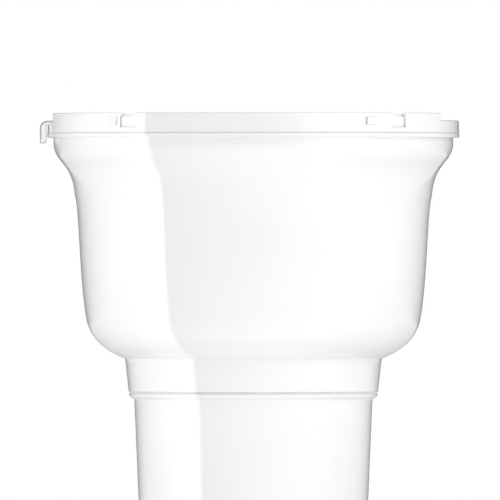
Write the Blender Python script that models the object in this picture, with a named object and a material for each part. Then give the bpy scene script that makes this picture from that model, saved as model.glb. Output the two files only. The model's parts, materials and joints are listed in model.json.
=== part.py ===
"""Free-standing ice cream maker: a white pedestal holds a motor and a gear train, which turn a
double-walled freezer bowl in the upper housing. The lid drops into the rim, is locked by a ring
that is turned by its hook, and holds the dasher still while the bowl turns around it.

Every size below is in millimetres and every angle in degrees; the meshes are made in metres.
+Z is up, the origin is on the table under the bowl's axis, and the front faces -Y. An azimuth
is 0 at the front and grows towards +X.
"""

import math

import bmesh
import bpy
from mathutils import Matrix, Vector

MM = 0.001
GAP = 0.3  # between pieces that touch on the real object
WALL = 2.8  # of the moulded housings
ROUND_STEPS = 36  # facets of the large turned pieces
RIM_STEPS = 48  # facets of the rim and the ring that turns in it
SMALL_STEPS = 16  # facets of shafts, screws and bosses
SHARP_ANGLE = math.radians(32)

# Rim and housing
RIM_RADIUS = 115.0
RIM_TOP = 284.4
RIM_LOW_TOP = 280.4  # at the two sides
SEAM = 273.2  # top of the housing's flange
FLANGE_BOTTOM = 271.0
FLANGE_INNER = 104.0
SHELL_TOP_RADIUS = 111.5
NECK_TOP_RADIUS = 71.8
NECK_TOP = 147.6
NECK_RADIUS = 69.6
NECK_BOTTOM = 129.2
LEDGE_TOP = 140.6  # carries the well floor
LEDGE_INNER = 62.0

# Pedestal
BEAD_RADIUS = 69.3
PEDESTAL_TOP = 128.0
SPIGOT_TOP = 136.0
SPIGOT_RADIUS = 66.6
PEDESTAL_BOTTOM = 5.0
BASE_RADIUS = 83.0
BASE_BAND_TOP = 36.0
WAIST = (63.6, 60.0)  # radius and height of the seam between column and skirt
DIMPLE_HEIGHT = 87.2

# Rim ring: raised in front and behind, low at the sides, notched for the lock ring's lugs
RIM_WALL = 2.8
LOW_STRETCHES = ((90.0, 24.7), (-95.8, 18.9))  # their middles and half angles
NOTCH_AZIMUTHS = (44.9, -37.5)
NOTCH_WIDTH = 5.3
NOTCH_BOTTOM = 276.3
TAB_WIDTH = 11.0  # of the lock ring's tabs that close the notches behind
TAB_TOP = 284.0
BLOCK_AZIMUTHS = (35.1, -43.6)
BLOCK_WIDTH = 4.0
BLOCK_BOTTOM = 278.3
BLOCK_TOP = 282.4
BLOCK_DEPTH = 1.0
LOCK_TRAVEL = 10.0
GROOVE_BOTTOM = 276.3
GROOVE_TOP = 282.5
GROOVE_RADIUS = 114.1

# Lid, lock ring and hook
LOCK_RING_OUTER = 111.2
LOCK_RING_INNER = 97.0
LOCK_RING_BOTTOM = 276.6
LOCK_RING_TOP = 279.6
LUG_RADIUS = 113.8
LUG_TOP = 282.2
LUG_PLAY = 0.15  # degrees at each side
HOOK_WIDTH = 20.0
HOOK_ARM = 2.0
HOOK_LEG = 3.5
HOOK_REACH = 119.2
HOOK_TOP = 280.3
HOOK_TIP = 267.7
HOOK_SLOT = (-106.3, -81.5)  # azimuths that leave the hook room to turn
HOOK_SLOT_BOTTOM = 277.9
SEAL_INNER = 105.4
SEAL_OUTER = 108.6
SEAL_BOTTOM = 272.0
SEAL_TOP = 274.4
LID_PLATE_BOTTOM = 274.2
LID_PLATE_TOP = 276.4
FEED_INNER = 36.0
FEED_OUTER = 78.0
FEED_HALF_ANGLE = 24.0
CHUTE_BOTTOM = 266.5
CAP_PIN_Y = -27.5
CAP_PIN_Z = 279.6
DASHER_STEM = 6.5
DASHER_COLUMNS = ((9.0, 34.0), (41.0, 66.0))  # left and right edges of the windows on each side
DASHER_ROWS = ((183.0, 208.0), (214.0, 236.0))  # their bottoms and tops

# Freezer bowl and its drive
BOWL_BOTTOM = 160.3
BOWL_RIM = 262.0
BOWL_OUTER = 88.0
LINER_INNER = 76.0
LINER_BOTTOM = 172.0
PLATTER_TOP = 160.0
SHAFT_RADIUS = 5.0

# Gear train: module 1 mm throughout
MODULE = 1.0
PINION_TEETH = 12
WHEEL_TEETH = 44
SMALL_TEETH = 14
OUTPUT_TEETH = 56
IDLER_DISTANCE = MODULE * (SMALL_TEETH + OUTPUT_TEETH) / 2
MOTOR_DISTANCE = MODULE * (PINION_TEETH + WHEEL_TEETH) / 2
MOTOR_BEARING = 40.0  # how far round from the centre line the motor sits behind the idler
IDLER_Y = IDLER_DISTANCE
MOTOR_X = MOTOR_DISTANCE * math.sin(math.radians(MOTOR_BEARING))
MOTOR_Y = IDLER_Y - MOTOR_DISTANCE * math.cos(math.radians(MOTOR_BEARING))
LOWER_GEARS = (100.6, 106.6)
UPPER_GEARS = (108.6, 116.6)
IDLER_BORE = 2.3  # and the motor pinion's: both run on 4 mm steel
PLATE_BOTTOM = 96.3
PLATE_TOP = 98.8
COVER_RADIUS = 61.2
COVER_TOP = 121.5
COVER_INNER_TOP = 119.0

# Screw circles, shared by the pieces that a screw joins
SCREW_CIRCLE = 54.0
SCREW_AZIMUTHS = (-30, 90, 210)
WELL_SCREW_AZIMUTH = 30
FOOT_CIRCLE = 66.0

# Controls and inlet
KNOB_Z = 21.0
KNOB_RADIUS = 12.0

WHITE = (0.86, 0.87, 0.86)
CLEAR = (0.90, 0.95, 0.95)
GREY = (0.35, 0.36, 0.37)
DARK = (0.05, 0.05, 0.055)
STEEL = (0.62, 0.62, 0.63)
PALE = (0.72, 0.73, 0.73)
NYLON = (0.80, 0.78, 0.70)
COPPER = (0.72, 0.36, 0.18)
BLUE = (0.25, 0.50, 0.75)


# ---------------------------------------------------------------- helpers


def clear_scene():
    for obj in list(bpy.data.objects):
        bpy.data.objects.remove(obj, do_unlink=True)


def look(name, colour, roughness, metallic=0.0):
    made = bpy.data.materials.new(name)
    made.use_nodes = True
    shader = made.node_tree.nodes["Principled BSDF"]
    shader.inputs["Base Color"].default_value = (*colour, 1.0)
    shader.inputs["Roughness"].default_value = roughness
    shader.inputs["Metallic"].default_value = metallic
    return made


def place(bm, name, surface, at=(0, 0, 0), parent=None):
    """Makes a closed mesh, given in millimetres, into an object whose origin is at `at`."""
    bmesh.ops.scale(bm, vec=(MM, MM, MM), verts=bm.verts)
    bmesh.ops.recalc_face_normals(bm, faces=bm.faces)
    mesh = bpy.data.meshes.new(name)
    bm.to_mesh(mesh)
    bm.free()
    mesh.shade_smooth()
    mesh.set_sharp_from_angle(angle=SHARP_ANGLE)
    obj = bpy.data.objects.new(name, mesh)
    bpy.context.scene.collection.objects.link(obj)
    obj.location = [value * MM for value in at]
    obj.parent = parent
    if surface:
        mesh.materials.append(surface)
    return obj


def pivot(name, at):
    """An empty on a joint's axis."""
    empty = bpy.data.objects.new(name, None)
    empty.location = [value * MM for value in at]
    bpy.context.scene.collection.objects.link(empty)
    return empty


def combine(obj, bm, operation):
    """Cuts the closed shapes of `bm`, in the object's own axes, from it, or joins them to it."""
    tool = place(bm, obj.name + "_" + operation.lower(), None)
    tool.parent = obj.parent
    tool.location = obj.location
    tool.rotation_euler = obj.rotation_euler
    tool.hide_render = True
    tool.display_type = "WIRE"
    modifier = obj.modifiers.new(operation.title(), "BOOLEAN")
    modifier.operation = operation
    modifier.solver = "EXACT"
    modifier.object = tool
    return obj


def cut(obj, bm):
    return combine(obj, bm, "DIFFERENCE")


def join(obj, bm):
    return combine(obj, bm, "UNION")


def curve(start, pull_start, pull_end, end, steps):
    """Points along a cubic curve, without its first point."""
    points = []
    for step in range(1, steps + 1):
        t = step / steps
        weights = ((1 - t) ** 3, 3 * t * (1 - t) ** 2, 3 * t * t * (1 - t), t**3)
        ends = (start, pull_start, pull_end, end)
        points.append(tuple(sum(w * p[axis] for w, p in zip(weights, ends)) for axis in (0, 1)))
    return points


def arc(centre, radius, first, last, steps):
    """Points along an arc from angle `first` to `last`, both ends included."""
    points = []
    for step in range(steps + 1):
        angle = math.radians(first + (last - first) * step / steps)
        points.append((centre[0] + radius * math.cos(angle), centre[1] + radius * math.sin(angle)))
    return points


def polar(radius, azimuth, z):
    turn = math.radians(azimuth)
    return (radius * math.sin(turn), -radius * math.cos(turn), z)


def add_turned(bm, outline, steps=ROUND_STEPS, centre=(0, 0)):
    """Turns a closed outline of (radius, z) points about a vertical axis. Points on it are shared."""
    rings = []
    for radius, z in outline:
        if radius < 1e-6:
            rings.append([bm.verts.new((centre[0], centre[1], z))])
            continue
        loop = []
        for step in range(steps):
            turn = 2 * math.pi * step / steps
            x = centre[0] + radius * math.cos(turn)
            y = centre[1] + radius * math.sin(turn)
            loop.append(bm.verts.new((x, y, z)))
        rings.append(loop)
    for lower, upper in zip(rings, rings[1:] + rings[:1]):
        if len(lower) == 1 and len(upper) == 1:
            continue
        for step in range(steps):
            after = (step + 1) % steps
            corners = [
                lower[step % len(lower)],
                lower[after % len(lower)],
                upper[after % len(upper)],
                upper[step % len(upper)],
            ]
            bm.faces.new(list(dict.fromkeys(corners)))


def add_prism(bm, outline, low, high):
    """Raises a flat outline of (x, y) points from z = low to high."""
    bottom = [bm.verts.new((x, y, low)) for x, y in outline]
    top = [bm.verts.new((x, y, high)) for x, y in outline]
    bm.faces.new(bottom)
    bm.faces.new(top)
    for i in range(len(outline)):
        j = (i + 1) % len(outline)
        bm.faces.new((bottom[i], bottom[j], top[j], top[i]))


def add_box(bm, low, high):
    corners = [(low[0], low[1]), (high[0], low[1]), (high[0], high[1]), (low[0], high[1])]
    add_prism(bm, corners, low[2], high[2])


def add_rod(bm, radius, start, end, steps=SMALL_STEPS):
    """A round rod from one point to another."""
    line = Vector(end) - Vector(start)
    rod = bmesh.new()
    add_turned(rod, [(0, 0), (radius, 0), (radius, line.length), (0, line.length)], steps)
    turn = line.to_track_quat("Z", "Y").to_matrix().to_4x4()
    add_copy(bm, rod, Matrix.Translation(start) @ turn)


def add_copy(bm, shape, matrix):
    """Adds a moved copy of a shape, and frees the shape."""
    copies = {vert: bm.verts.new(matrix @ vert.co) for vert in shape.verts}
    for face in shape.faces:
        bm.faces.new([copies[vert] for vert in face.verts])
    shape.free()


def add_sector(bm, inner, outer, low, high, azimuth, half_angle, steps=4):
    """A stretch of a flat ring, centred on an azimuth."""
    turns = [azimuth - half_angle + 2 * half_angle * i / steps for i in range(steps + 1)]
    outline = [polar(outer, turn, 0)[:2] for turn in turns]
    outline += [polar(inner, turn, 0)[:2] for turn in reversed(turns)]
    add_prism(bm, outline, low, high)


def turned(name, outline, surface, steps=ROUND_STEPS, at=(0, 0, 0), parent=None):
    bm = bmesh.new()
    add_turned(bm, outline, steps)
    return place(bm, name, surface, at, parent)


def ring(name, inner, outer, low, high, surface, steps=ROUND_STEPS, at=(0, 0, 0)):
    outline = [(inner, low), (outer, low), (outer, high), (inner, high)]
    return turned(name, outline, surface, steps, at)


def gear_outline(teeth, first_tooth=0.0):
    """Straight-sided teeth, thin enough to run clear of their mates. `first_tooth` is an angle."""
    pitch = MODULE * teeth / 2
    half_widths = ((pitch - 1.1 * MODULE, 0.80 * MODULE), (pitch + 0.8 * MODULE, 0.36 * MODULE))
    points = []
    for tooth in range(teeth):
        middle = math.radians(first_tooth) + 2 * math.pi * tooth / teeth
        (root, wide), (tip, narrow) = half_widths
        for radius, offset in ((root, -wide), (tip, -narrow), (tip, narrow), (root, wide)):
            angle = middle + offset / radius
            points.append((radius * math.cos(angle), radius * math.sin(angle)))
    return points


def screw(name, at, tip, surface, head_radius=3.2, head_height=2.2):
    """A pan-head screw whose head rests at `at`; its shank runs up or down to the height `tip`."""
    length = tip - at[2]
    crown = -math.copysign(head_height, length)
    outline = [(0, length), (1.4, length + 0.8 * crown), (1.4, 0), (head_radius, 0)]
    outline += [(head_radius, 0.6 * crown), (0.7 * head_radius, crown), (0, crown)]
    obj = turned(name, outline, surface, 10, at)
    slot = bmesh.new()
    bottom, top = sorted((0.55 * crown, 1.4 * crown))
    add_box(slot, (-0.5, -1.9, bottom), (0.5, 1.9, top))
    return cut(obj, slot)


def spread(count, radius, first=0.0):
    """(x, y) of points evenly round the axis, the first at the azimuth `first`."""
    return [polar(radius, first + 360 * i / count, 0)[:2] for i in range(count)]


# ---------------------------------------------------------------- housings


def upper_housing(surface):
    """The funnel-shaped shell: flange, ogee shoulder, bowl wall, rounded bottom and neck."""
    shoulder = (SHELL_TOP_RADIUS, FLANGE_BOTTOM - 4.0)
    wall_top = (99.6, 238.4)
    wall_bottom = (92.9, 168.0)
    neck = (NECK_TOP_RADIUS, NECK_TOP)
    outer = [(RIM_RADIUS, SEAM), (RIM_RADIUS, FLANGE_BOTTOM), (SHELL_TOP_RADIUS, FLANGE_BOTTOM)]
    outer += [shoulder]
    outer += curve(shoulder, (110.9, 256.8), (101.2, 257.4), wall_top, 6)
    outer += curve(wall_top, (97.0, 229.9), (97.3, 189.4), wall_bottom, 3)
    outer += curve(wall_bottom, (89.8, 157.3), (81.9, 151.7), neck, 6)
    outer += [(NECK_TOP_RADIUS - 0.4, NECK_TOP - 2.0), (NECK_RADIUS, NECK_BOTTOM)]

    bore = SPIGOT_RADIUS + 0.6
    inner = [(bore, NECK_BOTTOM), (bore, LEDGE_TOP - 3.0)]
    inner += [(LEDGE_INNER, LEDGE_TOP - 3.0), (LEDGE_INNER, LEDGE_TOP), (bore, LEDGE_TOP)]
    inner_neck = (bore, NECK_TOP + 1.0)
    inner_bottom = (wall_bottom[0] - WALL, wall_bottom[1] + 1.0)
    inner_wall = (wall_top[0] - WALL, wall_top[1])
    inner_shoulder = (SHELL_TOP_RADIUS - WALL, shoulder[1])
    inner += [inner_neck]
    inner += curve(inner_neck, (79.5, 153.0), (88.0, 159.5), inner_bottom, 3)
    inner += [inner_wall, (98.9, 248.6), (102.2, 255.7), inner_shoulder]
    inner += [(SHELL_TOP_RADIUS - WALL, FLANGE_BOTTOM), (FLANGE_INNER, FLANGE_BOTTOM)]
    inner += [(FLANGE_INNER, SEAM), (SEAL_INNER, SEAM), (SEAL_INNER, SEAL_BOTTOM)]
    inner += [(SEAL_OUTER, SEAL_BOTTOM), (SEAL_OUTER, SEAM)]
    return turned("upper_housing", outer + inner, surface)


def pedestal_housing(surface):
    """The slim column with its bead, the spigot for the neck, and the bosses for the gearbox."""
    outer = [(SPIGOT_RADIUS, SPIGOT_TOP), (SPIGOT_RADIUS, PEDESTAL_TOP)]
    outer += [(BEAD_RADIUS, PEDESTAL_TOP), (69.1, 127.2), (68.6, 126.4), (67.8, 125.6)]
    wall = [(66.5, 125.0), (66.2, 119.0), (64.2, 71.0), WAIST]
    inner = [(radius - WALL, z) for radius, z in reversed(wall)]
    inner += [(SPIGOT_RADIUS - 2.4, 127.5), (SPIGOT_RADIUS - 2.4, SPIGOT_TOP)]
    obj = turned("pedestal_housing", outer + wall + inner, surface)

    bosses = bmesh.new()
    for azimuth in SCREW_AZIMUTHS:
        add_sector(bosses, 49.5, 62.8, 78.0, PLATE_BOTTOM - GAP, azimuth, 5.5, 2)
    join(obj, bosses)

    holes = bmesh.new()
    for azimuth in SCREW_AZIMUTHS:
        x, y, _ = polar(SCREW_CIRCLE, azimuth, 0)
        add_rod(holes, 1.8, (x, y, 70.0), (x, y, PLATE_BOTTOM + 2), 10)
    for side in (-1, 1):
        add_rod(holes, 2.1, (side * 63.8, 0, DIMPLE_HEIGHT), (side * 70, 0, DIMPLE_HEIGHT), 12)
    return cut(obj, holes)


def base_skirt(surface):
    """The flared foot: a collar inside the column, a cove and an upright band."""
    seam = (WAIST[0], WAIST[1] - GAP)
    band = (BASE_RADIUS - 1.5, BASE_BAND_TOP)
    collar = (WAIST[0] - WALL - 0.4, WAIST[1] + 8.0)
    collar_inner = (collar[0] - 2.1, WAIST[1] - 3.0)
    inner_band = (band[0] - WALL, band[1] - WALL)
    outer = [(collar_inner[0], collar[1]), collar, (collar[0], seam[1]), seam]
    outer += curve(seam, (63.2, 46.0), (68.0, 39.0), band, 5)
    outer += [(BASE_RADIUS, BASE_BAND_TOP - 2.0), (BASE_RADIUS, PEDESTAL_BOTTOM + 1.0)]
    outer += [(BASE_RADIUS - 1.0, PEDESTAL_BOTTOM)]
    inner = [(BASE_RADIUS - WALL, PEDESTAL_BOTTOM), (BASE_RADIUS - WALL, BASE_BAND_TOP - 2.0 - WALL)]
    inner += [inner_band]
    inner += curve(inner_band, (65.2, 36.2), (60.4, 43.2), collar_inner, 4)
    obj = turned("base_skirt", outer + inner, surface)

    bosses = bmesh.new()
    for x, y in spread(4, FOOT_CIRCLE, 45):
        add_rod(bosses, 4.5, (x, y, PEDESTAL_BOTTOM + 4.3), (x, y, 38.2), 10)
    join(obj, bosses)

    holes = bmesh.new()
    for x, y in spread(4, FOOT_CIRCLE, 45):
        add_rod(holes, 1.8, (x, y, PEDESTAL_BOTTOM), (x, y, 22.0), 10)
    add_box(holes, (-13.3, 70.0, KNOB_Z - 8.3), (13.3, 90.0, KNOB_Z + 8.3))
    add_rod(holes, 4.6, (0, -90, KNOB_Z), (0, -60, KNOB_Z))
    return cut(obj, holes)


def base_plate(surface):
    """Closes the foot from below, with air slots, and takes the feet and the screws."""
    outer = BASE_RADIUS - WALL - 0.4
    profile = [(0, 4.0), (outer - 2, 4.0), (outer, 4.8), (outer, 8.8), (outer - 2, 8.8)]
    obj = turned("base_plate", profile + [(outer - 2, 6.6), (0, 6.6)], surface)
    holes = bmesh.new()
    for centre in spread(4, FOOT_CIRCLE, 45):
        stepped = [(0, 0), (3.8, 0), (3.8, 4.9), (2.0, 4.9), (2.0, 12), (0, 12)]
        add_turned(holes, stepped, 12, centre)
    for azimuth in range(0, 360, 45):
        add_sector(holes, 26, 48, 0, 12, azimuth, 2.6, 1)
    for x, y in spread(4, FOOT_CIRCLE):
        add_rod(holes, 6.3, (x, y, 0), (x, y, 5.2))
    return cut(obj, holes)


def feet(surface):
    for name, (x, y) in zip(("front", "right", "rear", "left"), spread(4, FOOT_CIRCLE)):
        profile = [(0, 0), (7.0, 0), (8.0, 1.0), (8.0, 3.6), (6.0, 3.7), (6.0, 4.9), (0, 4.9)]
        turned("foot_" + name, profile, surface, SMALL_STEPS, (x, y, 0))


def well_floor(surface):
    """The plate that parts the bowl's well from the works, with a collar round the shaft."""
    radius = SPIGOT_RADIUS + 0.2
    top = LEDGE_TOP + GAP + 3.0
    profile = [(8.0, LEDGE_TOP - 6.0), (11.0, LEDGE_TOP - 6.0), (11.0, LEDGE_TOP + GAP)]
    profile += [(radius, LEDGE_TOP + GAP), (radius, top), (12.0, top), (11.0, top + 4.5)]
    profile += [(8.0, top + 4.5)]
    obj = turned("well_floor", profile, surface)
    holes = bmesh.new()
    for x, y in spread(3, SCREW_CIRCLE, WELL_SCREW_AZIMUTH):
        add_rod(holes, 2.0, (x, y, top - 10), (x, y, top + 10), 10)
    return cut(obj, holes)


# ---------------------------------------------------------------- rim and lid


def add_ramp(bm, inner, azimuth, turn):
    """A small block that stands proud at its end nearer the front and runs out at the other."""
    half = math.copysign(BLOCK_WIDTH / 2, azimuth)
    near, far = azimuth + turn - half, azimuth + turn + half
    proud, flush = RIM_RADIUS + BLOCK_DEPTH, RIM_RADIUS - 0.2
    ends = ((inner, near), (proud, near), (flush, far), (inner, far))
    outline = [polar(radius, at, 0)[:2] for radius, at in ends]
    add_prism(bm, outline, BLOCK_BOTTOM, BLOCK_TOP)


def rim_ring(surface):
    """The rim's wall: raised in front and behind, low at the sides, with notches and grooves."""
    inner = RIM_RADIUS - RIM_WALL
    bottom = SEAM + GAP
    edge = 0.8
    profile = [(inner, bottom), (RIM_RADIUS, bottom), (RIM_RADIUS, RIM_TOP - edge)]
    profile += [(RIM_RADIUS - edge, RIM_TOP), (inner, RIM_TOP)]
    obj = turned("rim_ring", profile, surface, RIM_STEPS)

    blocks = bmesh.new()
    for azimuth in BLOCK_AZIMUTHS:
        for turn in (0, 180):
            add_ramp(blocks, inner + 1.2, azimuth, turn)
    join(obj, blocks)

    holes = bmesh.new()
    for middle, half in LOW_STRETCHES:
        add_sector(holes, inner - 4, RIM_RADIUS + 6, RIM_LOW_TOP, RIM_TOP + 5, middle, half, 6)
    cut(obj, holes)

    more = bmesh.new()
    half = NOTCH_WIDTH / 2
    for azimuth in NOTCH_AZIMUTHS:
        for turn in (0, 180):
            at = azimuth + turn
            add_sector(more, inner - 4, RIM_RADIUS + 6, NOTCH_BOTTOM, RIM_TOP + 5, at, half, 2)
    middle, half = sum(HOOK_SLOT) / 2, (HOOK_SLOT[1] - HOOK_SLOT[0]) / 2
    add_sector(more, inner - 4, RIM_RADIUS + 6, HOOK_SLOT_BOTTOM, RIM_TOP, middle, half)
    cut(obj, more)

    grooves = bmesh.new()
    half = LOCK_TRAVEL / 2 + NOTCH_WIDTH / 2
    for azimuth in NOTCH_AZIMUTHS:
        for turn in (0, 180):
            at = azimuth + turn - LOCK_TRAVEL / 2 - 0.2
            add_sector(grooves, inner - 4, GROOVE_RADIUS, GROOVE_BOTTOM, GROOVE_TOP, at, half)
    return cut(obj, grooves)


def lid(surface):
    """The clear disc: hub, feed opening with its chute, and the bead that keeps the lock ring."""
    collar = LOCK_RING_INNER - 0.6
    profile = [(0, 263.0), (12.5, 263.0), (12.5, LID_PLATE_BOTTOM), (93.0, LID_PLATE_BOTTOM)]
    profile += [(94.0, 274.7), (111.4, 274.7), (111.4, 276.3), (collar, 276.3)]
    profile += [(collar, 279.9), (collar + 0.9, 280.5), (collar + 0.9, 281.4), (93.6, 281.4)]
    profile += [(92.6, LID_PLATE_TOP), (17.0, LID_PLATE_TOP), (15.0, 281.0), (13.0, 282.2)]
    profile += [(0, 282.2)]
    obj = turned("lid_disc", profile, surface)

    walls = bmesh.new()
    chute = (FEED_INNER - 1.8, FEED_OUTER + 1.8, CHUTE_BOTTOM, 275.0)
    add_sector(walls, *chute, 0, FEED_HALF_ANGLE + 2.0, 8)
    for side in (-1, 1):
        low, high = sorted((side * 10.0, side * 13.5))
        add_box(walls, (low, CAP_PIN_Y - 2.5, 275.0), (high, CAP_PIN_Y + 2.5, CAP_PIN_Z + 2.3))
    join(obj, walls)

    holes = bmesh.new()
    add_sector(holes, FEED_INNER, FEED_OUTER, 260, 290, 0, FEED_HALF_ANGLE, 8)
    add_rod(holes, 1.4, (-30, CAP_PIN_Y, CAP_PIN_Z), (30, CAP_PIN_Y, CAP_PIN_Z), 12)
    add_rod(holes, DASHER_STEM + 0.4, (0, 0, 255.0), (0, 0, 273.0), 6)
    return cut(obj, holes)


def feed_cap(surface, hinge):
    """The flap over the feed opening, in the axes of its hinge pin."""
    obj_origin = (0, CAP_PIN_Y, CAP_PIN_Z)
    shift = Matrix.Translation([-value for value in obj_origin])
    cap = bmesh.new()
    flap = (FEED_INNER - 2.4, FEED_OUTER + 3.0, LID_PLATE_TOP + GAP, 278.8)
    add_sector(cap, *flap, 0, FEED_HALF_ANGLE + 2.5, 8)
    shape = bmesh.new()
    add_copy(shape, cap, shift)
    obj = place(shape, "feed_cap", surface, (0, 0, 0), hinge)

    plug = bmesh.new()
    filling = (FEED_INNER + 0.8, FEED_OUTER - 0.8, 274.6, 277.5)
    add_sector(plug, *filling, 0, FEED_HALF_ANGLE - 0.9, 8)
    knuckle = bmesh.new()
    low, high = CAP_PIN_Z - 2.0, CAP_PIN_Z + 1.8
    add_box(knuckle, (-9.4, -FEED_INNER - 1.0, low), (9.4, CAP_PIN_Y + 1.8, high))
    tab = bmesh.new()
    add_sector(tab, FEED_OUTER + 2.0, FEED_OUTER + 9.0, 277.3, 279.4, 0, 5.0, 2)
    for shape in (plug, knuckle, tab):
        moved = bmesh.new()
        add_copy(moved, shape, shift)
        join(obj, moved)
    bore = bmesh.new()
    add_rod(bore, 1.4, (-20, 0, 0), (20, 0, 0), 12)
    return cut(obj, bore)


def lock_ring(surface):
    """The ring round the lid: four lugs drop through the rim's notches and turn under its wall."""
    bottom, top = LOCK_RING_BOTTOM, LOCK_RING_TOP
    profile = [(LOCK_RING_INNER, bottom), (LOCK_RING_OUTER, bottom), (LOCK_RING_OUTER, top - 0.6)]
    profile += [(LOCK_RING_OUTER - 0.6, top), (LOCK_RING_INNER, top)]
    obj = turned("lock_ring", profile, surface, RIM_STEPS)
    lugs, tabs = bmesh.new(), bmesh.new()
    lug = (LOCK_RING_OUTER - 2.0, LUG_RADIUS, bottom, LUG_TOP)
    tab = (LOCK_RING_OUTER - 2.6, RIM_RADIUS - RIM_WALL - GAP, bottom + 1, TAB_TOP)
    for azimuth in NOTCH_AZIMUTHS:
        for turn in (0, 180):
            add_sector(lugs, *lug, azimuth + turn, NOTCH_WIDTH / 2 - LUG_PLAY, 2)
            add_sector(tabs, *tab, azimuth + turn, TAB_WIDTH / 2, 3)
    join(obj, lugs)
    join(obj, tabs)
    seat = bmesh.new()
    half_width = HOOK_WIDTH / 2 + GAP
    outside = -LOCK_RING_OUTER - 5
    add_box(seat, (outside, -half_width, HOOK_SLOT_BOTTOM), (-103.5, half_width, top + 5))
    return cut(obj, seat)


def turn_hook(surface):
    """The finger hook: a flat arm seated in the lock ring, bent down outside the rim."""
    outline = [(-103.8, HOOK_TOP), (-HOOK_REACH + 3.0, HOOK_TOP)]
    outline += arc((-HOOK_REACH + 3.0, HOOK_TOP - 3.0), 3.0, 90, 180, 5)[1:]
    inside = -HOOK_REACH + HOOK_LEG
    outline += [(-HOOK_REACH, HOOK_TIP + 0.6), (-HOOK_REACH + 0.6, HOOK_TIP)]
    outline += [(inside - 0.8, HOOK_TIP), (inside, HOOK_TIP + 1.3)]
    outline += [(inside, HOOK_TOP - HOOK_ARM - 0.7), (inside + 0.7, HOOK_TOP - HOOK_ARM)]
    outline += [(-103.8, HOOK_TOP - HOOK_ARM)]
    flat = bmesh.new()
    add_prism(flat, outline, -HOOK_WIDTH / 2, HOOK_WIDTH / 2)
    upright = bmesh.new()
    add_copy(upright, flat, Matrix.Rotation(math.radians(90), 4, "X"))
    return place(upright, "turn_hook", surface)


def dasher(surface):
    """The still paddle: a stem, two side blades and slanting bars, open between them."""
    blade = 3.0
    reach = LINER_INNER - 2.5
    low = LINER_BOTTOM + 3.0
    high = BOWL_RIM - 2.0
    corner = 13.0
    outline = [(reach - corner, low)] + arc((reach - corner, low + corner), corner, -90, 0, 4)[1:]
    outline += [(reach, high), (reach - 9.0, high), (reach - 12.0, high - 12.0), (6.0, high - 16.0)]
    outline += [(-x, z) for x, z in reversed(outline)]
    flat = bmesh.new()
    add_prism(flat, outline, -blade / 2, blade / 2)
    upright = bmesh.new()
    add_copy(upright, flat, Matrix.Rotation(math.radians(90), 4, "X"))
    obj = place(upright, "dasher", surface)

    stem = bmesh.new()
    add_rod(stem, DASHER_STEM, (0, 0, low), (0, 0, 272.4), 6)
    join(obj, stem)

    windows = bmesh.new()
    for side in (-1, 1):
        for column in DASHER_COLUMNS:
            near, far = sorted(side * edge for edge in column)
            for bottom, top in DASHER_ROWS:
                add_box(windows, (near, -5, bottom), (far, 5, top))
    return cut(obj, windows)


# ---------------------------------------------------------------- freezer bowl and drive


def bowl_wall(inset):
    """Half of the bowl's outer outline, from the axis to the rim, moved in by `inset`."""
    low = BOWL_BOTTOM + inset
    flat = (64.0 - 0.4 * inset, low)
    side = (BOWL_OUTER - 3.0 - inset, BOWL_BOTTOM + 21.0)
    points = [(0, low), flat]
    points += curve(flat, (77.0 - inset, low), (83.6 - inset, low + 8.0 - 0.5 * inset), side, 4)
    return points + [(BOWL_OUTER - inset, BOWL_RIM)]


def liner_wall(grow):
    """Half of the liner's inner outline, from the axis to its rim, moved out by `grow`."""
    corner = 14.0
    low = LINER_BOTTOM + 1.5 - grow
    centre = (LINER_INNER - 1.5 - corner, low + corner + grow)
    points = [(0, low)] + arc(centre, corner + grow, -90, 0, 3)
    return points + [(LINER_INNER + grow, BOWL_RIM + 2.5)]


def freezer_bowl(shell_surface, liner_surface, gel_surface, seal_surface):
    """The double-walled bowl: shell, coolant, drawn liner and the seal between their rims."""
    skin = 2.2
    keys = bmesh.new()
    for x, y in spread(3, 46.0, 30):
        add_rod(keys, 5.4, (x, y, BOWL_BOTTOM - 5), (x, y, BOWL_BOTTOM + 5.5), 12)
    outline = bowl_wall(0) + list(reversed(bowl_wall(skin)))
    shell = turned("freezer_bowl_shell", outline, shell_surface)
    pads = bmesh.new()
    for x, y in spread(3, 46.0, 30):
        add_rod(pads, 7.4, (x, y, BOWL_BOTTOM + 0.5), (x, y, BOWL_BOTTOM + 7.5), 12)
    join(shell, pads)
    cut(shell, keys)

    thin = 1.2
    rim = BOWL_RIM + 1.6
    outer = liner_wall(thin)[:-1] + [(LINER_INNER + thin, rim), (BOWL_OUTER + 0.8, rim)]
    outer += [(BOWL_OUTER + 0.8, rim + 1.6), (LINER_INNER + 1.6, rim + 1.6)]
    inner = [(LINER_INNER, rim + 0.4)] + list(reversed(liner_wall(0)[:-1]))
    turned("freezer_bowl_liner", outer + inner, liner_surface)

    lift = 8.0
    gel_outer = [(0, BOWL_BOTTOM + lift)]
    gel_outer += bowl_wall(skin + GAP)[3:-1] + [(BOWL_OUTER - skin - GAP, BOWL_RIM - 0.4)]
    gel_outer[1:1] = [(60.0, BOWL_BOTTOM + lift)]
    gel_inner = liner_wall(thin + GAP)[:-1] + [(LINER_INNER + thin + GAP, BOWL_RIM - 0.4)]
    turned("freezer_bowl_coolant", gel_outer + list(reversed(gel_inner)), gel_surface)
    low, high = BOWL_RIM + GAP, rim - GAP
    ring("freezer_bowl_seal", LINER_INNER + 1.6, BOWL_OUTER - 0.6, low, high, seal_surface)


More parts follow.
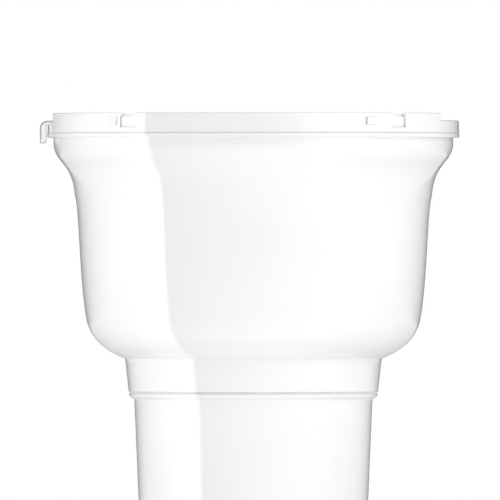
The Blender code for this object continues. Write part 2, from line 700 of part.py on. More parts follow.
def drive_platter(surface):
    """The turntable under the bowl, with three drive pins and a hub on the output shaft."""
    under = 152.6
    profile = [(SHAFT_RADIUS + GAP, under), (14.0, under), (14.0, under + 3.0), (58.0, under + 4.0)]
    profile += [(60.0, under + 5.0), (60.0, PLATTER_TOP), (SHAFT_RADIUS + GAP, PLATTER_TOP)]
    obj = turned("drive_platter", profile, surface)
    pins = bmesh.new()
    for x, y in spread(3, 46.0, 30):
        add_rod(pins, 4.8, (x, y, PLATTER_TOP - 1.5), (x, y, PLATTER_TOP + 5.0), 12)
    return join(obj, pins)


def output_shaft(surface):
    """A stepped shaft with a shoulder under the output gear."""
    profile = [(0, PLATE_TOP + GAP), (4.0, PLATE_TOP + GAP), (4.0, 104.0), (SHAFT_RADIUS, 104.5)]
    profile += [(SHAFT_RADIUS, 158.6), (SHAFT_RADIUS - 0.8, 159.4), (0, 159.4)]
    return turned("output_shaft", profile, surface, SMALL_STEPS)


def gear(name, outline, low, high, surface, parent=None):
    bm = bmesh.new()
    add_prism(bm, outline, low, high)
    return place(bm, name, surface, (0, 0, 0), parent)


def bore_gear(obj, radius):
    hole = bmesh.new()
    add_rod(hole, radius, (0, 0, PLATE_BOTTOM), (0, 0, COVER_TOP))
    return cut(obj, hole)


def gear_train(surface, rotor_pivot, idler_pivot):
    """Motor pinion, idler (a wheel and a small pinion in one) and output gear, in mesh at rest."""
    low, high = UPPER_GEARS
    output = gear("output_gear", gear_outline(OUTPUT_TEETH), low, high, surface)
    hub = bmesh.new()
    add_rod(hub, 9.0, (0, 0, low - 2.6), (0, 0, high + 1.0))
    join(output, hub)
    bore_gear(output, SHAFT_RADIUS + GAP)

    # The output gear has a tooth on the line to the idler, so each mate is turned by half a tooth
    # where it needs a gap there: small pinion towards -Y, wheel towards the motor.
    towards_motor = -90 + MOTOR_BEARING
    wheel = gear_outline(WHEEL_TEETH, towards_motor)
    idler = gear("idler_gear", wheel, *LOWER_GEARS, surface, idler_pivot)
    small = bmesh.new()
    small_outline = gear_outline(SMALL_TEETH, -90 + 180 / SMALL_TEETH)
    add_prism(small, small_outline, LOWER_GEARS[1] - 1.0, high + 0.8)
    join(idler, small)
    bore_gear(idler, IDLER_BORE)

    pinion = gear_outline(PINION_TEETH, towards_motor + 180 + 180 / PINION_TEETH)
    low, high = LOWER_GEARS
    bore_gear(gear("motor_pinion", pinion, low - 0.6, high, surface, rotor_pivot), IDLER_BORE)


def gearbox(surface, bush_surface, seal_surface, steel):
    """Mounting plate, cover with posts, output bush, shaft seal and the idler's fixed pin."""
    profile = [(0, PLATE_BOTTOM), (COVER_RADIUS, PLATE_BOTTOM), (COVER_RADIUS, PLATE_TOP)]
    plate = turned("gearbox_plate", profile + [(0, PLATE_TOP)], steel)
    holes = bmesh.new()
    for azimuth in SCREW_AZIMUTHS:
        x, y, _ = polar(SCREW_CIRCLE, azimuth, 0)
        add_rod(holes, 2.0, (x, y, 90), (x, y, 105), 10)
    add_rod(holes, 4.6, (MOTOR_X, MOTOR_Y, 90), (MOTOR_X, MOTOR_Y, 105))
    add_rod(holes, 2.3, (0, IDLER_Y, 90), (0, IDLER_Y, 105), 12)
    for x, y in motor_screw_places():
        add_rod(holes, 1.8, (x, y, 90), (x, y, 105), 10)
    cut(plate, holes)

    wall = 1.8
    bottom = PLATE_TOP + GAP
    inside = COVER_RADIUS - wall
    profile = [(0, COVER_INNER_TOP), (inside, COVER_INNER_TOP), (inside, bottom)]
    profile += [(COVER_RADIUS, bottom), (COVER_RADIUS, COVER_TOP - 1.0)]
    profile += [(COVER_RADIUS - 1.0, COVER_TOP), (12.0, COVER_TOP), (12.0, 128.0), (0, 128.0)]
    cover = turned("gearbox_cover", profile, surface)
    posts = bmesh.new()
    for x, y in spread(3, SCREW_CIRCLE, WELL_SCREW_AZIMUTH):
        add_rod(posts, 4.2, (x, y, COVER_TOP - 1.0), (x, y, LEDGE_TOP - 0.2), 12)
    for azimuth in SCREW_AZIMUTHS:
        x, y, _ = polar(SCREW_CIRCLE, azimuth, 0)
        add_rod(posts, 4.2, (x, y, bottom), (x, y, COVER_INNER_TOP + 1.0), 12)
    join(cover, posts)
    drill = bmesh.new()
    for x, y in spread(3, SCREW_CIRCLE, WELL_SCREW_AZIMUTH):
        add_rod(drill, 1.8, (x, y, 124.0), (x, y, 150.0), 10)
    for azimuth in SCREW_AZIMUTHS:
        x, y, _ = polar(SCREW_CIRCLE, azimuth, 0)
        add_rod(drill, 2.0, (x, y, 90.0), (x, y, 130.0), 10)
    add_rod(drill, 8.3, (0, 0, 100.0), (0, 0, 140.0))
    add_rod(drill, 2.3, (0, IDLER_Y, 100), (0, IDLER_Y, 130), 12)
    cut(cover, drill)

    profile = [(SHAFT_RADIUS + GAP, 118.2), (8.0, 118.2), (8.0, 128.3), (10.5, 128.3), (10.5, 130.0)]
    turned("output_bush", profile + [(SHAFT_RADIUS + GAP, 130.0)], bush_surface, 24)
    low, high = PLATE_BOTTOM + 0.2, COVER_TOP + 0.9
    profile = [(0, low), (2.0, low), (2.0, high), (0, high)]
    turned("idler_pin", profile, steel, SMALL_STEPS, (0, IDLER_Y, 0))
    bore = SHAFT_RADIUS + GAP
    profile = [(bore, 142.0), (7.7, 142.0), (7.7, 147.6), (6.4, 148.0), (bore, 146.0)]
    turned("shaft_seal", profile, seal_surface, 24)


# ---------------------------------------------------------------- motor, controls and fasteners


def motor_screw_places():
    """The motor hangs from the gearbox plate on two screws, either side of its shaft."""
    reach = 20.0
    return [(MOTOR_X - reach, MOTOR_Y), (MOTOR_X + reach, MOTOR_Y)]


def motor(steel, coil_surface, rotor_surface, rotor_pivot):
    """A synchronous can motor: can, end plate, coil, magnet rotor and shaft."""
    at = (MOTOR_X, MOTOR_Y, 0)
    can = 28.0
    skin = 1.2
    low, high = 58.0, 94.2
    inside = can - skin
    profile = [(0, low), (can, low), (can, high), (inside, high), (inside, low + skin)]
    turned("motor_can", profile + [(0, low + skin)], steel, 32, at)
    end = ring("motor_end_plate", 4.6, can, high + GAP, PLATE_BOTTOM - GAP, steel, 32, at)
    holes = bmesh.new()
    for x, y in motor_screw_places():
        add_rod(holes, 1.8, (x - MOTOR_X, y - MOTOR_Y, 90), (x - MOTOR_X, y - MOTOR_Y, 100), 10)
    cut(end, holes)
    ring("motor_coil", 16.0, 22.0, low + skin + GAP, high - 0.6, coil_surface, 32, at)
    profile = [(2.3, 62.0), (14.6, 62.0), (14.6, 90.0), (2.3, 90.0)]
    turned("motor_rotor", profile, rotor_surface, 24, (0, 0, 0), rotor_pivot)
    profile = [(0, low + skin + GAP), (2.0, low + skin + GAP), (2.0, 107.6), (0, 107.6)]
    turned("motor_shaft", profile, steel, 12, (0, 0, 0), rotor_pivot)


def controls(white, grey, steel, knob_pivot):
    """The rotary switch behind the foot's wall, its shaft and knob, and the mains inlet."""
    inner = BASE_RADIUS - WALL
    body = bmesh.new()
    add_box(body, (-11, -inner + 3.0, KNOB_Z - 9), (11, -inner + 22.0, KNOB_Z + 9))
    switch = place(body, "switch_body", grey)
    bore = bmesh.new()
    add_rod(bore, 3.4, (0, -90, KNOB_Z), (0, -inner + 12.0, KNOB_Z))
    cut(switch, bore)

    outline = [(0, 0), (3.0, 0), (3.0, 21.5), (0, 21.5)]
    turned("switch_shaft", outline, steel, SMALL_STEPS, (0, 0, -11.0), knob_pivot)
    height = 12.0
    profile = [(3.3, 0.5), (KNOB_RADIUS, 0.5), (KNOB_RADIUS, 3.0), (KNOB_RADIUS - 1.0, height - 1.2)]
    profile += [(KNOB_RADIUS - 2.4, height), (0, height), (0, 10.8), (3.3, 10.8)]
    knob = turned("control_knob", profile, white, 32, (0, 0, 0), knob_pivot)
    pointer = bmesh.new()
    add_box(pointer, (-0.9, 1.0, height - 0.8), (0.9, KNOB_RADIUS - 1.9, height + 0.7))
    join(knob, pointer)

    depth = 16.0
    low, high = KNOB_Z - 8.0, KNOB_Z + 8.0
    block = bmesh.new()
    add_box(block, (-13.0, BASE_RADIUS - depth, low), (13.0, BASE_RADIUS + 0.6, high))
    inlet = place(block, "mains_inlet", grey)
    socket = bmesh.new()
    half = 4.0
    low_corner = (-9.5, BASE_RADIUS - 11.0, KNOB_Z - half)
    add_box(socket, low_corner, (9.5, BASE_RADIUS + 5.0, KNOB_Z + half))
    cut(inlet, socket)
    pins = bmesh.new()
    for x in (-4.0, 4.0):
        add_rod(pins, 1.2, (x, BASE_RADIUS - 13.0, KNOB_Z), (x, BASE_RADIUS - 2.0, KNOB_Z), 10)
    join(inlet, pins)


def fasteners(steel):
    """Every screw is its own piece: four under the base, three in the gearbox, three in the well
    floor and two in the motor."""
    for number, (x, y) in enumerate(spread(4, FOOT_CIRCLE, 45), 1):
        screw(f"base_screw_{number}", (x, y, 4.6), 20.0, steel)
    for number, azimuth in enumerate(SCREW_AZIMUTHS, 1):
        x, y, _ = polar(SCREW_CIRCLE, azimuth, 0)
        screw(f"gearbox_screw_{number}", (x, y, COVER_TOP + GAP), 80.0, steel)
    for number, (x, y) in enumerate(spread(3, SCREW_CIRCLE, WELL_SCREW_AZIMUTH), 1):
        screw(f"well_screw_{number}", (x, y, LEDGE_TOP + GAP + 3.0 + GAP), 126.0, steel)
    for number, (x, y) in enumerate(motor_screw_places(), 1):
        screw(f"motor_screw_{number}", (x, y, PLATE_TOP + GAP), 94.6, steel, 2.6, 1.2)


def main():
    clear_scene()
    white = look("white_plastic", WHITE, 0.28)
    clear = look("clear_plastic", CLEAR, 0.10)
    grey = look("grey_plastic", GREY, 0.45)
    rubber = look("rubber", DARK, 0.80)
    silicone = look("silicone", PALE, 0.70)
    steel = look("steel", STEEL, 0.30, 1.0)
    nylon = look("nylon", NYLON, 0.50)
    copper = look("copper", COPPER, 0.35, 1.0)
    coolant = look("coolant", BLUE, 0.40)

    rotor_pivot = pivot("rotor_axis", (MOTOR_X, MOTOR_Y, 0))
    idler_pivot = pivot("idler_axis", (0, IDLER_Y, 0))
    cap_pivot = pivot("feed_cap_axis", (0, CAP_PIN_Y, CAP_PIN_Z))
    knob_pivot = pivot("knob_axis", (0, -BASE_RADIUS, KNOB_Z))
    knob_pivot.rotation_euler = (math.radians(90), 0, 0)

    upper_housing(white)
    pedestal_housing(white)
    low, high = PEDESTAL_TOP + GAP, NECK_BOTTOM - GAP
    ring("neck_gasket", SPIGOT_RADIUS + GAP, NECK_RADIUS - 0.4, low, high, silicone)
    base_skirt(white)
    base_plate(grey)
    feet(rubber)
    well_floor(white)

    rim_ring(white)
    low = SEAL_BOTTOM + GAP
    ring("lid_seal", SEAL_INNER + GAP, SEAL_OUTER - GAP, low, SEAL_TOP, silicone)
    lid(clear)
    feed_cap(clear, cap_pivot)
    pin = bmesh.new()
    add_rod(pin, 1.1, (-15.0, CAP_PIN_Y, CAP_PIN_Z), (15.0, CAP_PIN_Y, CAP_PIN_Z), 10)
    place(pin, "feed_cap_pin", steel)
    lock_ring(white)
    turn_hook(white)
    dasher(white)

    freezer_bowl(white, steel, coolant, rubber)
    drive_platter(grey)
    output_shaft(steel)
    gear_train(nylon, rotor_pivot, idler_pivot)
    gearbox(grey, nylon, rubber, steel)
    motor(steel, copper, grey, rotor_pivot)
    controls(white, grey, steel, knob_pivot)
    fasteners(steel)


main()
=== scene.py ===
import json
import math

import bmesh
import bpy
from mathutils import Matrix, Vector


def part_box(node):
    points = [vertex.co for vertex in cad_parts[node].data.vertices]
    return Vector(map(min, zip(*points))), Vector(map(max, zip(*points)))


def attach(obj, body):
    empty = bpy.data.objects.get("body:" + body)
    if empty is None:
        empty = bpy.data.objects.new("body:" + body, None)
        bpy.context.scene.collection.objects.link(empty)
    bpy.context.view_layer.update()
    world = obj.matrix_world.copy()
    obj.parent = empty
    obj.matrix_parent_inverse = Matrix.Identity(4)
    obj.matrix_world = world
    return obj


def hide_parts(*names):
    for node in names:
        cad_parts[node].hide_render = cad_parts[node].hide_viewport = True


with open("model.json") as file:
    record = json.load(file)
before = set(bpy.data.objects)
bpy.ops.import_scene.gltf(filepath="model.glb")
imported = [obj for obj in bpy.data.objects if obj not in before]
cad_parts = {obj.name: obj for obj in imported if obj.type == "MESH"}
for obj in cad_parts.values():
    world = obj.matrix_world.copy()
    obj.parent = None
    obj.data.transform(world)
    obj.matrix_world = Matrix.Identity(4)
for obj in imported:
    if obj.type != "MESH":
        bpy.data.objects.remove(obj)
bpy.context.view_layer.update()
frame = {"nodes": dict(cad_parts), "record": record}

# The looks of the ice cream maker. The shells are remade smooth and with rounded edges at the
# frame's sizes. Outlines are drafted in millimetres, as (radius, height) or (x, y) points, where a
# third number rounds that corner; the meshes are in metres. Azimuths are in degrees, 0 at the
# front (-Y) and growing towards +X.

MM = 0.001
GAP = 0.3
WALL = 2.8
STEPS = 192  # facets round the large turned pieces
FINE_STEPS = 64  # round the small ones
SHARP_ANGLE = 38  # degrees; steeper edges aren't shaded smooth
ON_AXIS = 1e-6  # an outline's point this near the axis is on it


def corners(node):
    """Lowest and highest corner of a CAD node, in millimetres."""
    return [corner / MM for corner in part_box(node)]


# ---------------------------------------------------------------- sizes, from the frame

RIM_LOW, RIM_HIGH = corners("rim_ring")
RIM_RADIUS = RIM_HIGH.x
RIM_TOP = RIM_HIGH.z
SHELL_LOW, SHELL_HIGH = corners("upper_housing")
SEAM = SHELL_HIGH.z
NECK_BOTTOM = SHELL_LOW.z
PEDESTAL_LOW, PEDESTAL_HIGH = corners("pedestal_housing")
SKIRT_LOW, SKIRT_HIGH = corners("base_skirt")
BASE_RADIUS = SKIRT_HIGH.x
RING_LOW, RING_HIGH = corners("lock_ring")
HOOK_LOW, HOOK_HIGH = corners("turn_hook")
LID_LOW, LID_HIGH = corners("lid_disc")
CAP_TOP = corners("feed_cap")[1].z
DASHER_LOW, DASHER_HIGH = corners("dasher")
BOWL_LOW, BOWL_HIGH = corners("freezer_bowl_shell")
LINER_LOW, LINER_HIGH = corners("freezer_bowl_liner")
KNOB_LOW, KNOB_HIGH = corners("control_knob")
INLET_LOW, INLET_HIGH = corners("mains_inlet")
PLATE_LOW, PLATE_HIGH = corners("base_plate")

# Sizes that a box doesn't give, in step with the CAD
FLANGE_BOTTOM = SEAM - 2.2
SHELL_TOP_RADIUS = 111.5
NECK_TOP = (71.8, 147.6)
NECK_RADIUS = 69.6
NECK_BORE = 67.2
LEDGE = (62.0, 137.6, 140.6)
PEDESTAL_TOP = 128.0
SPIGOT_RADIUS = 66.6
BEAD_RADIUS = 69.3
WAIST_RADIUS = 63.6
BAND_TOP = 36.0
DIMPLE_HEIGHT = 87.2
RIM_WALL = RIM_RADIUS - 0.25
RIM_INNER = RIM_RADIUS - WALL
HALF_TURNS = (0, 180)  # the rim's features are there twice, in front and behind
NOTCHES = ((44.9, 113.3), (-37.5, 113.8))  # azimuth, and the reach of the lug in it
NOTCH_WIDTH = 5.3
NOTCH_BOTTOM = 276.3
# Azimuth, the side of the upright end (-1 or 1), and half the width of the groove beside that end
BLOCKS = ((35.1, -1, 0.14), (-43.3, 1, 0.22))
BLOCK_WIDTH = 4.0
BLOCK_SPAN = (277.8, 281.9)
LOW_TOP = 280.4
LOW_STRETCHES = ((90.0, 24.7), (-95.8, 18.9))  # middles and half angles
GROOVE_SPAN = (276.3, 282.5)
GROOVE_RADIUS = 114.1
LUG_TOP = 282.2
LOCK_TRAVEL = 10.0
HOOK_SLOT = (-106.3, -81.5, 277.9)
LOCK_RING_TOP = 279.6
TAB_WIDTH = 11.0
TAB_RADIUS = 111.95
FEED_SPAN = (36.0, 78.0)
FEED_HALF_ANGLE = 24.0
CAP_PIN = (-27.5, 279.6)
LID_PLATE = (274.2, 276.4)

# Light: how bright the room is at each turn from the front, and the lamps' watts
ROOM_LEVELS = (
    (0, 0.23), (30, 0.65), (60, 1.01), (80, 1.17),
    (100, 1.04), (120, 0.63), (140, 0.18), (160, 0),
)
KEY_ENERGY = 9.3
REAR_ENERGY = 9.0
GLOW_ENERGY = 16.2
BEAM_ENERGY = 0.107
BEAM_SPREAD = 0.27  # degrees
BEAM_AZIMUTH = -37.8
BEAM_EDGE = -0.0124  # where its straight side passes the axis, in metres
BEAM_SIZE = (0.30, 0.50)
AIM = (0, 0, 0.17)

# Camera: level, far off and long. The frame's width is measured at the bowl's axis, in metres.
CAMERA_LENS = 1600.0
CAMERA_SENSOR = 36.0
CAMERA_ASIDE = -0.0019
CAMERA_HEIGHT = 0.2082
FRAME_WIDTH = 0.27915


# ---------------------------------------------------------------- node materials


class Nodes:
    """A small helper that wires a material's node tree."""

    def __init__(self, name):
        self.made = bpy.data.materials.new(name)
        self.made.use_nodes = True
        self.tree = self.made.node_tree
        self.shader = self.tree.nodes["Principled BSDF"]
        self.place = self.tree.nodes.new("ShaderNodeTexCoord").outputs["Object"]

    def add(self, kind, **settings):
        node = self.tree.nodes.new("ShaderNode" + kind)
        for key, value in settings.items():
            setattr(node, key, value)
        return node

    def link(self, source, target):
        self.tree.links.new(source, target)

    def set(self, **values):
        for key, value in values.items():
            self.shader.inputs[key.replace("_", " ")].default_value = value

    def scaled(self, scale):
        """Object coordinates stretched by (x, y, z)."""
        node = self.add("Mapping")
        node.inputs["Scale"].default_value = scale
        self.link(self.place, node.inputs["Vector"])
        return node.outputs["Vector"]

    def noise(self, scale, detail=3.0, roughness=0.5, vector=None):
        node = self.add("TexNoise")
        node.inputs["Scale"].default_value = scale
        node.inputs["Detail"].default_value = detail
        node.inputs["Roughness"].default_value = roughness
        self.link(vector or self.place, node.inputs["Vector"])
        return node.outputs["Fac"]

    def spread(self, value, low, high, first=0.3, last=0.7):
        """Maps a texture value from first..last to low..high."""
        node = self.add("MapRange")
        numbers = {"From Min": first, "From Max": last, "To Min": low, "To Max": high}
        for key, number in numbers.items():
            node.inputs[key].default_value = number
        self.link(value, node.inputs["Value"])
        return node.outputs["Result"]

    def tint(self, value, first, second):
        """Blends two colours by a 0..1 value."""
        node = self.add("Mix", data_type="RGBA")
        node.inputs["A"].default_value = (*first, 1)
        node.inputs["B"].default_value = (*second, 1)
        self.link(value, node.inputs["Factor"])
        return node.outputs["Result"]

    def bump(self, value, strength, distance, before=None):
        node = self.add("Bump")
        node.inputs["Strength"].default_value = strength
        node.inputs["Distance"].default_value = distance
        self.link(value, node.inputs["Height"])
        if before:
            self.link(before, node.inputs["Normal"])
        return node.outputs["Normal"]

    def finish(self, colour, roughness, normal):
        self.link(colour, self.shader.inputs["Base Color"])
        self.link(roughness, self.shader.inputs["Roughness"])
        self.link(normal, self.shader.inputs["Normal"])
        return self.made


def moulded(name, colour, shade, roughness, grain, depth):
    """Moulded plastic: faint clouds, a fine skin, a slow ripple and handling marks in the gloss."""
    n = Nodes(name)
    cloud = n.noise(18.0, 2.0)
    smudge = n.noise(60.0, 5.0, 0.65)
    fine = n.noise(grain, 2.0, 0.6)
    ripple = n.noise(35.0, 1.0)
    tint = n.tint(n.spread(cloud, 0.0, 1.0), shade, colour)
    gloss = n.spread(smudge, roughness * 0.85, roughness * 1.25)
    normal = n.bump(ripple, 0.04, 0.0004)
    n.set(IOR=1.49)
    return n.finish(tint, gloss, n.bump(fine, 0.25, depth, normal))


def clear_plastic(name):
    """Clear moulded plastic with faint flow lines and hairline scratches."""
    n = Nodes(name)
    flow = n.noise(22.0, 2.0)
    hair = n.noise(160.0, 3.0, 0.7, n.scaled((1.0, 14.0, 1.0)))
    tint = n.tint(n.spread(flow, 0.0, 1.0), (0.93, 0.965, 0.96), (0.97, 0.985, 0.985))
    n.set(IOR=1.49, Transmission_Weight=1.0)
    return n.finish(tint, n.spread(hair, 0.02, 0.09), n.bump(flow, 0.05, 0.0004))


def spun_metal(name, colour, shade, roughness):
    """Bright metal with fine turned lines round the vertical axis."""
    n = Nodes(name)
    lines = n.noise(1.0, 4.0, 0.7, n.scaled((25.0, 25.0, 3200.0)))
    blotch = n.noise(30.0, 3.0)
    tint = n.tint(n.spread(blotch, 0.0, 1.0), shade, colour)
    n.set(Metallic=1.0)
    gloss = n.spread(lines, roughness * 0.7, roughness * 1.4)
    return n.finish(tint, gloss, n.bump(lines, 0.18, 0.00006))


def soft_rubber(name, colour, shade):
    """Rubber or silicone: dull, with a fine pebbled skin and some dust."""
    n = Nodes(name)
    dust = n.noise(90.0, 6.0, 0.7)
    pebble = n.add("TexVoronoi")
    pebble.inputs["Scale"].default_value = 1800.0
    n.link(n.place, pebble.inputs["Vector"])
    tint = n.tint(n.spread(dust, 0.0, 1.0, 0.4, 0.75), colour, shade)
    gloss = n.spread(dust, 0.62, 0.85)
    return n.finish(tint, gloss, n.bump(pebble.outputs["Distance"], 0.3, 0.00008))


def wound_copper(name):
    """Enamelled wire, wound in layers."""
    n = Nodes(name)
    turns = n.add("TexWave", wave_type="BANDS", bands_direction="Z")
    turns.inputs["Scale"].default_value = 650.0
    turns.inputs["Distortion"].default_value = 0.6
    n.link(n.place, turns.inputs["Vector"])
    tint = n.tint(turns.outputs["Fac"], (0.40, 0.14, 0.05), (0.78, 0.36, 0.17))
    n.set(Metallic=1.0)
    gloss = n.spread(turns.outputs["Fac"], 0.25, 0.45)
    return n.finish(tint, gloss, n.bump(turns.outputs["Fac"], 0.6, 0.0002))


def freezing_gel(name):
    """Blue gel with faint crystals."""
    n = Nodes(name)
    crystals = n.add("TexVoronoi")
    crystals.inputs["Scale"].default_value = 260.0
    n.link(n.place, crystals.inputs["Vector"])
    tint = n.tint(crystals.outputs["Distance"], (0.16, 0.42, 0.72), (0.55, 0.75, 0.90))
    gloss = n.spread(crystals.outputs["Distance"], 0.2, 0.5, 0.0, 1.0)
    return n.finish(tint, gloss, n.bump(crystals.outputs["Distance"], 0.3, 0.0003))


WHITE = moulded("white_gloss", (0.890, 0.896, 0.890), (0.878, 0.886, 0.880), 0.10, 900.0, 0.00002)
CLEAR = clear_plastic("clear_lid")
GREY = moulded("grey_textured", (0.33, 0.34, 0.35), (0.28, 0.29, 0.30), 0.48, 2200.0, 0.00012)
RUBBER = soft_rubber("black_rubber", (0.035, 0.035, 0.038), (0.09, 0.09, 0.095))
SILICONE = soft_rubber("pale_silicone", (0.72, 0.73, 0.73), (0.62, 0.63, 0.63))
STEEL = spun_metal("spun_metal", (0.78, 0.78, 0.79), (0.68, 0.68, 0.70), 0.22)
NYLON = moulded("nylon", (0.80, 0.78, 0.70), (0.74, 0.72, 0.63), 0.45, 1500.0, 0.00006)
COPPER = wound_copper("copper_winding")
GEL = freezing_gel("freezing_gel")
PRINT = moulded("printed_marks", (0.30, 0.31, 0.32), (0.36, 0.37, 0.38), 0.40, 1500.0, 0.00002)

SLOT_LOOKS = {
    "white_plastic": WHITE,
    "clear_plastic": CLEAR,
    "grey_plastic": GREY,
    "rubber": RUBBER,
    "silicone": SILICONE,
    "steel": STEEL,
    "nylon": NYLON,
    "copper": COPPER,
    "coolant": GEL,
}


# ---------------------------------------------------------------- shape helpers


def polar(radius, azimuth, z=0.0):
    """The point at this distance from the axis, azimuth and height."""
    turn = math.radians(azimuth)
    return (radius * math.sin(turn), -radius * math.cos(turn), z)


def curve(start, pull_start, pull_end, end, steps):
    """Points along a cubic curve, without its first point."""
    points = []
    for step in range(1, steps + 1):
        t = step / steps
        weights = ((1 - t) ** 3, 3 * t * (1 - t) ** 2, 3 * t * t * (1 - t), t**3)
        ends = (start, pull_start, pull_end, end)
        points.append(tuple(sum(w * p[axis] for w, p in zip(weights, ends)) for axis in (0, 1)))
    return points


def arc(centre, radius, first, last, steps):
    """Points along a circle from one angle to another, in degrees from the x axis."""
    points = []
    for step in range(steps + 1):
        angle = math.radians(first + (last - first) * step / steps)
        points.append((centre[0] + radius * math.cos(angle), centre[1] + radius * math.sin(angle)))
    return points


def soften(outline, steps=4):
    """Rounds every corner of a closed outline that carries a radius as its third number."""
    points = []
    for i, point in enumerate(outline):
        if len(point) == 2:
            points.append(tuple(point))
            continue
        corner = Vector(point[:2])
        before = Vector(outline[i - 1][:2]) - corner
        after = Vector(outline[(i + 1) % len(outline)][:2]) - corner
        half = before.angle(after) / 2
        reach = min(point[2] / math.tan(half), 0.48 * before.length, 0.48 * after.length)
        start = corner + before.normalized() * reach
        end = corner + after.normalized() * reach
        for step in range(steps + 1):
            t = step / steps
            points.append(tuple(start * (1 - t) ** 2 + corner * 2 * t * (1 - t) + end * t * t))
    return points


def revolve(bm, outline, steps=STEPS, centre=(0, 0), swell=None):
    """Turns a closed outline about a vertical axis. swell(angle, radius, z) changes the radius."""
    loops = []
    for radius, z in outline:
        if radius < ON_AXIS:
            loops.append([bm.verts.new((*centre, z))])
            continue
        loop = []
        for step in range(steps):
            turn = 2 * math.pi * step / steps
            reach = swell(turn, radius, z) if swell else radius
            x = centre[0] + reach * math.cos(turn)
            y = centre[1] + reach * math.sin(turn)
            loop.append(bm.verts.new((x, y, z)))
        loops.append(loop)
    for lower, upper in zip(loops, loops[1:] + loops[:1]):
        if len(lower) == 1 and len(upper) == 1:
            continue
        for step in range(steps):
            after = (step + 1) % steps
            ring = [lower[step % len(lower)], lower[after % len(lower)]]
            ring += [upper[after % len(upper)], upper[step % len(upper)]]
            bm.faces.new(list(dict.fromkeys(ring)))
    return bm


def prism(bm, outline, low, high):
    """Raises a flat outline of (x, y) points from z = low to high."""
    bottom = [bm.verts.new((x, y, low)) for x, y in outline]
    top = [bm.verts.new((x, y, high)) for x, y in outline]
    bm.faces.new(bottom)
    bm.faces.new(top)
    for i in range(len(outline)):
        j = (i + 1) % len(outline)
        bm.faces.new((bottom[i], bottom[j], top[j], top[i]))
    return bm


def box(bm, low, high):
    outline = [(low[0], low[1]), (high[0], low[1]), (high[0], high[1]), (low[0], high[1])]
    return prism(bm, outline, low[2], high[2])


def sector(bm, inner, outer, low, high, azimuth, half, steps=12, outer_end=None):
    """A stretch of a flat ring. With outer_end its outer face ramps from outer to that radius."""
    last = outer if outer_end is None else outer_end
    turns = [(azimuth - half + 2 * half * i / steps, i / steps) for i in range(steps + 1)]
    outline = [polar(outer + (last - outer) * t, turn)[:2] for turn, t in turns]
    outline += [polar(inner, turn)[:2] for turn, _ in reversed(turns)]
    return prism(bm, outline, low, high)


def rod(bm, radius, start, end, steps):
    line = Vector(end) - Vector(start)
    outline = [(0, 0), (radius, 0), (radius, line.length), (0, line.length)]
    shape = revolve(bmesh.new(), outline, steps)
    turn = line.to_track_quat("Z", "Y").to_matrix().to_4x4()
    return add_moved(bm, shape, Matrix.Translation(start) @ turn)


def add_moved(bm, shape, matrix):
    """Adds a moved copy of a shape, and frees the shape."""
    copies = {vert: bm.verts.new(matrix @ vert.co) for vert in shape.verts}
    for face in shape.faces:
        bm.faces.new([copies[vert] for vert in face.verts])
    shape.free()
    return bm


def upright(shape):
    """Stands a shape that was drawn flat, so that its y becomes z."""
    return add_moved(bmesh.new(), shape, Matrix.Rotation(math.radians(90), 4, "X"))


def mesh_object(bm, name):
    """Makes an object of a shape drawn in millimetres, and frees the shape."""
    bmesh.ops.scale(bm, vec=(MM, MM, MM), verts=bm.verts)
    bmesh.ops.recalc_face_normals(bm, faces=bm.faces)
    mesh = bpy.data.meshes.new(name)
    bm.to_mesh(mesh)
    bm.free()
    obj = bpy.data.objects.new(name, mesh)
    bpy.context.scene.collection.objects.link(obj)
    return obj


def apply_modifiers(obj):
    graph = bpy.context.evaluated_depsgraph_get()
    obj.data = bpy.data.meshes.new_from_object(obj.evaluated_get(graph))
    obj.modifiers.clear()


def combined(obj, bm, operation):
    """Cuts the closed shapes of bm from the object, or joins them to it."""
    tool = mesh_object(bm, obj.name + "_tool")
    modifier = obj.modifiers.new(operation, "BOOLEAN")
    modifier.operation = operation
    modifier.solver = "EXACT"
    modifier.object = tool
    apply_modifiers(obj)
    bpy.data.objects.remove(tool)


def cut(obj, bm):
    combined(obj, bm, "DIFFERENCE")


def join(obj, bm):
    combined(obj, bm, "UNION")


def round_edges(obj, width, segments=2, angle=35):
    modifier = obj.modifiers.new("Bevel", "BEVEL")
    modifier.width = width * MM
    modifier.segments = segments
    modifier.limit_method = "ANGLE"
    modifier.angle_limit = math.radians(angle)
    apply_modifiers(obj)


def piece(obj, material, body, slot, *replaced):
    """Finishes a piece: smooth shading, its material, its body and what it stands for. Its slot is
    not used.
    """
    obj.data.shade_smooth()
    obj.data.set_sharp_from_angle(angle=math.radians(SHARP_ANGLE))
    obj.data.materials.clear()
    obj.data.materials.append(material)
    weighted = obj.modifiers.new("Normals", "WEIGHTED_NORMAL")
    weighted.keep_sharp = True
    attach(obj, body)
    if replaced:
        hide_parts(*replaced)


def spread_round(count, radius, first=0.0):
    """Centres of a ring of equal features, as (x, y)."""
    return [polar(radius, first + 360 * i / count)[:2] for i in range(count)]


# ---------------------------------------------------------------- housings


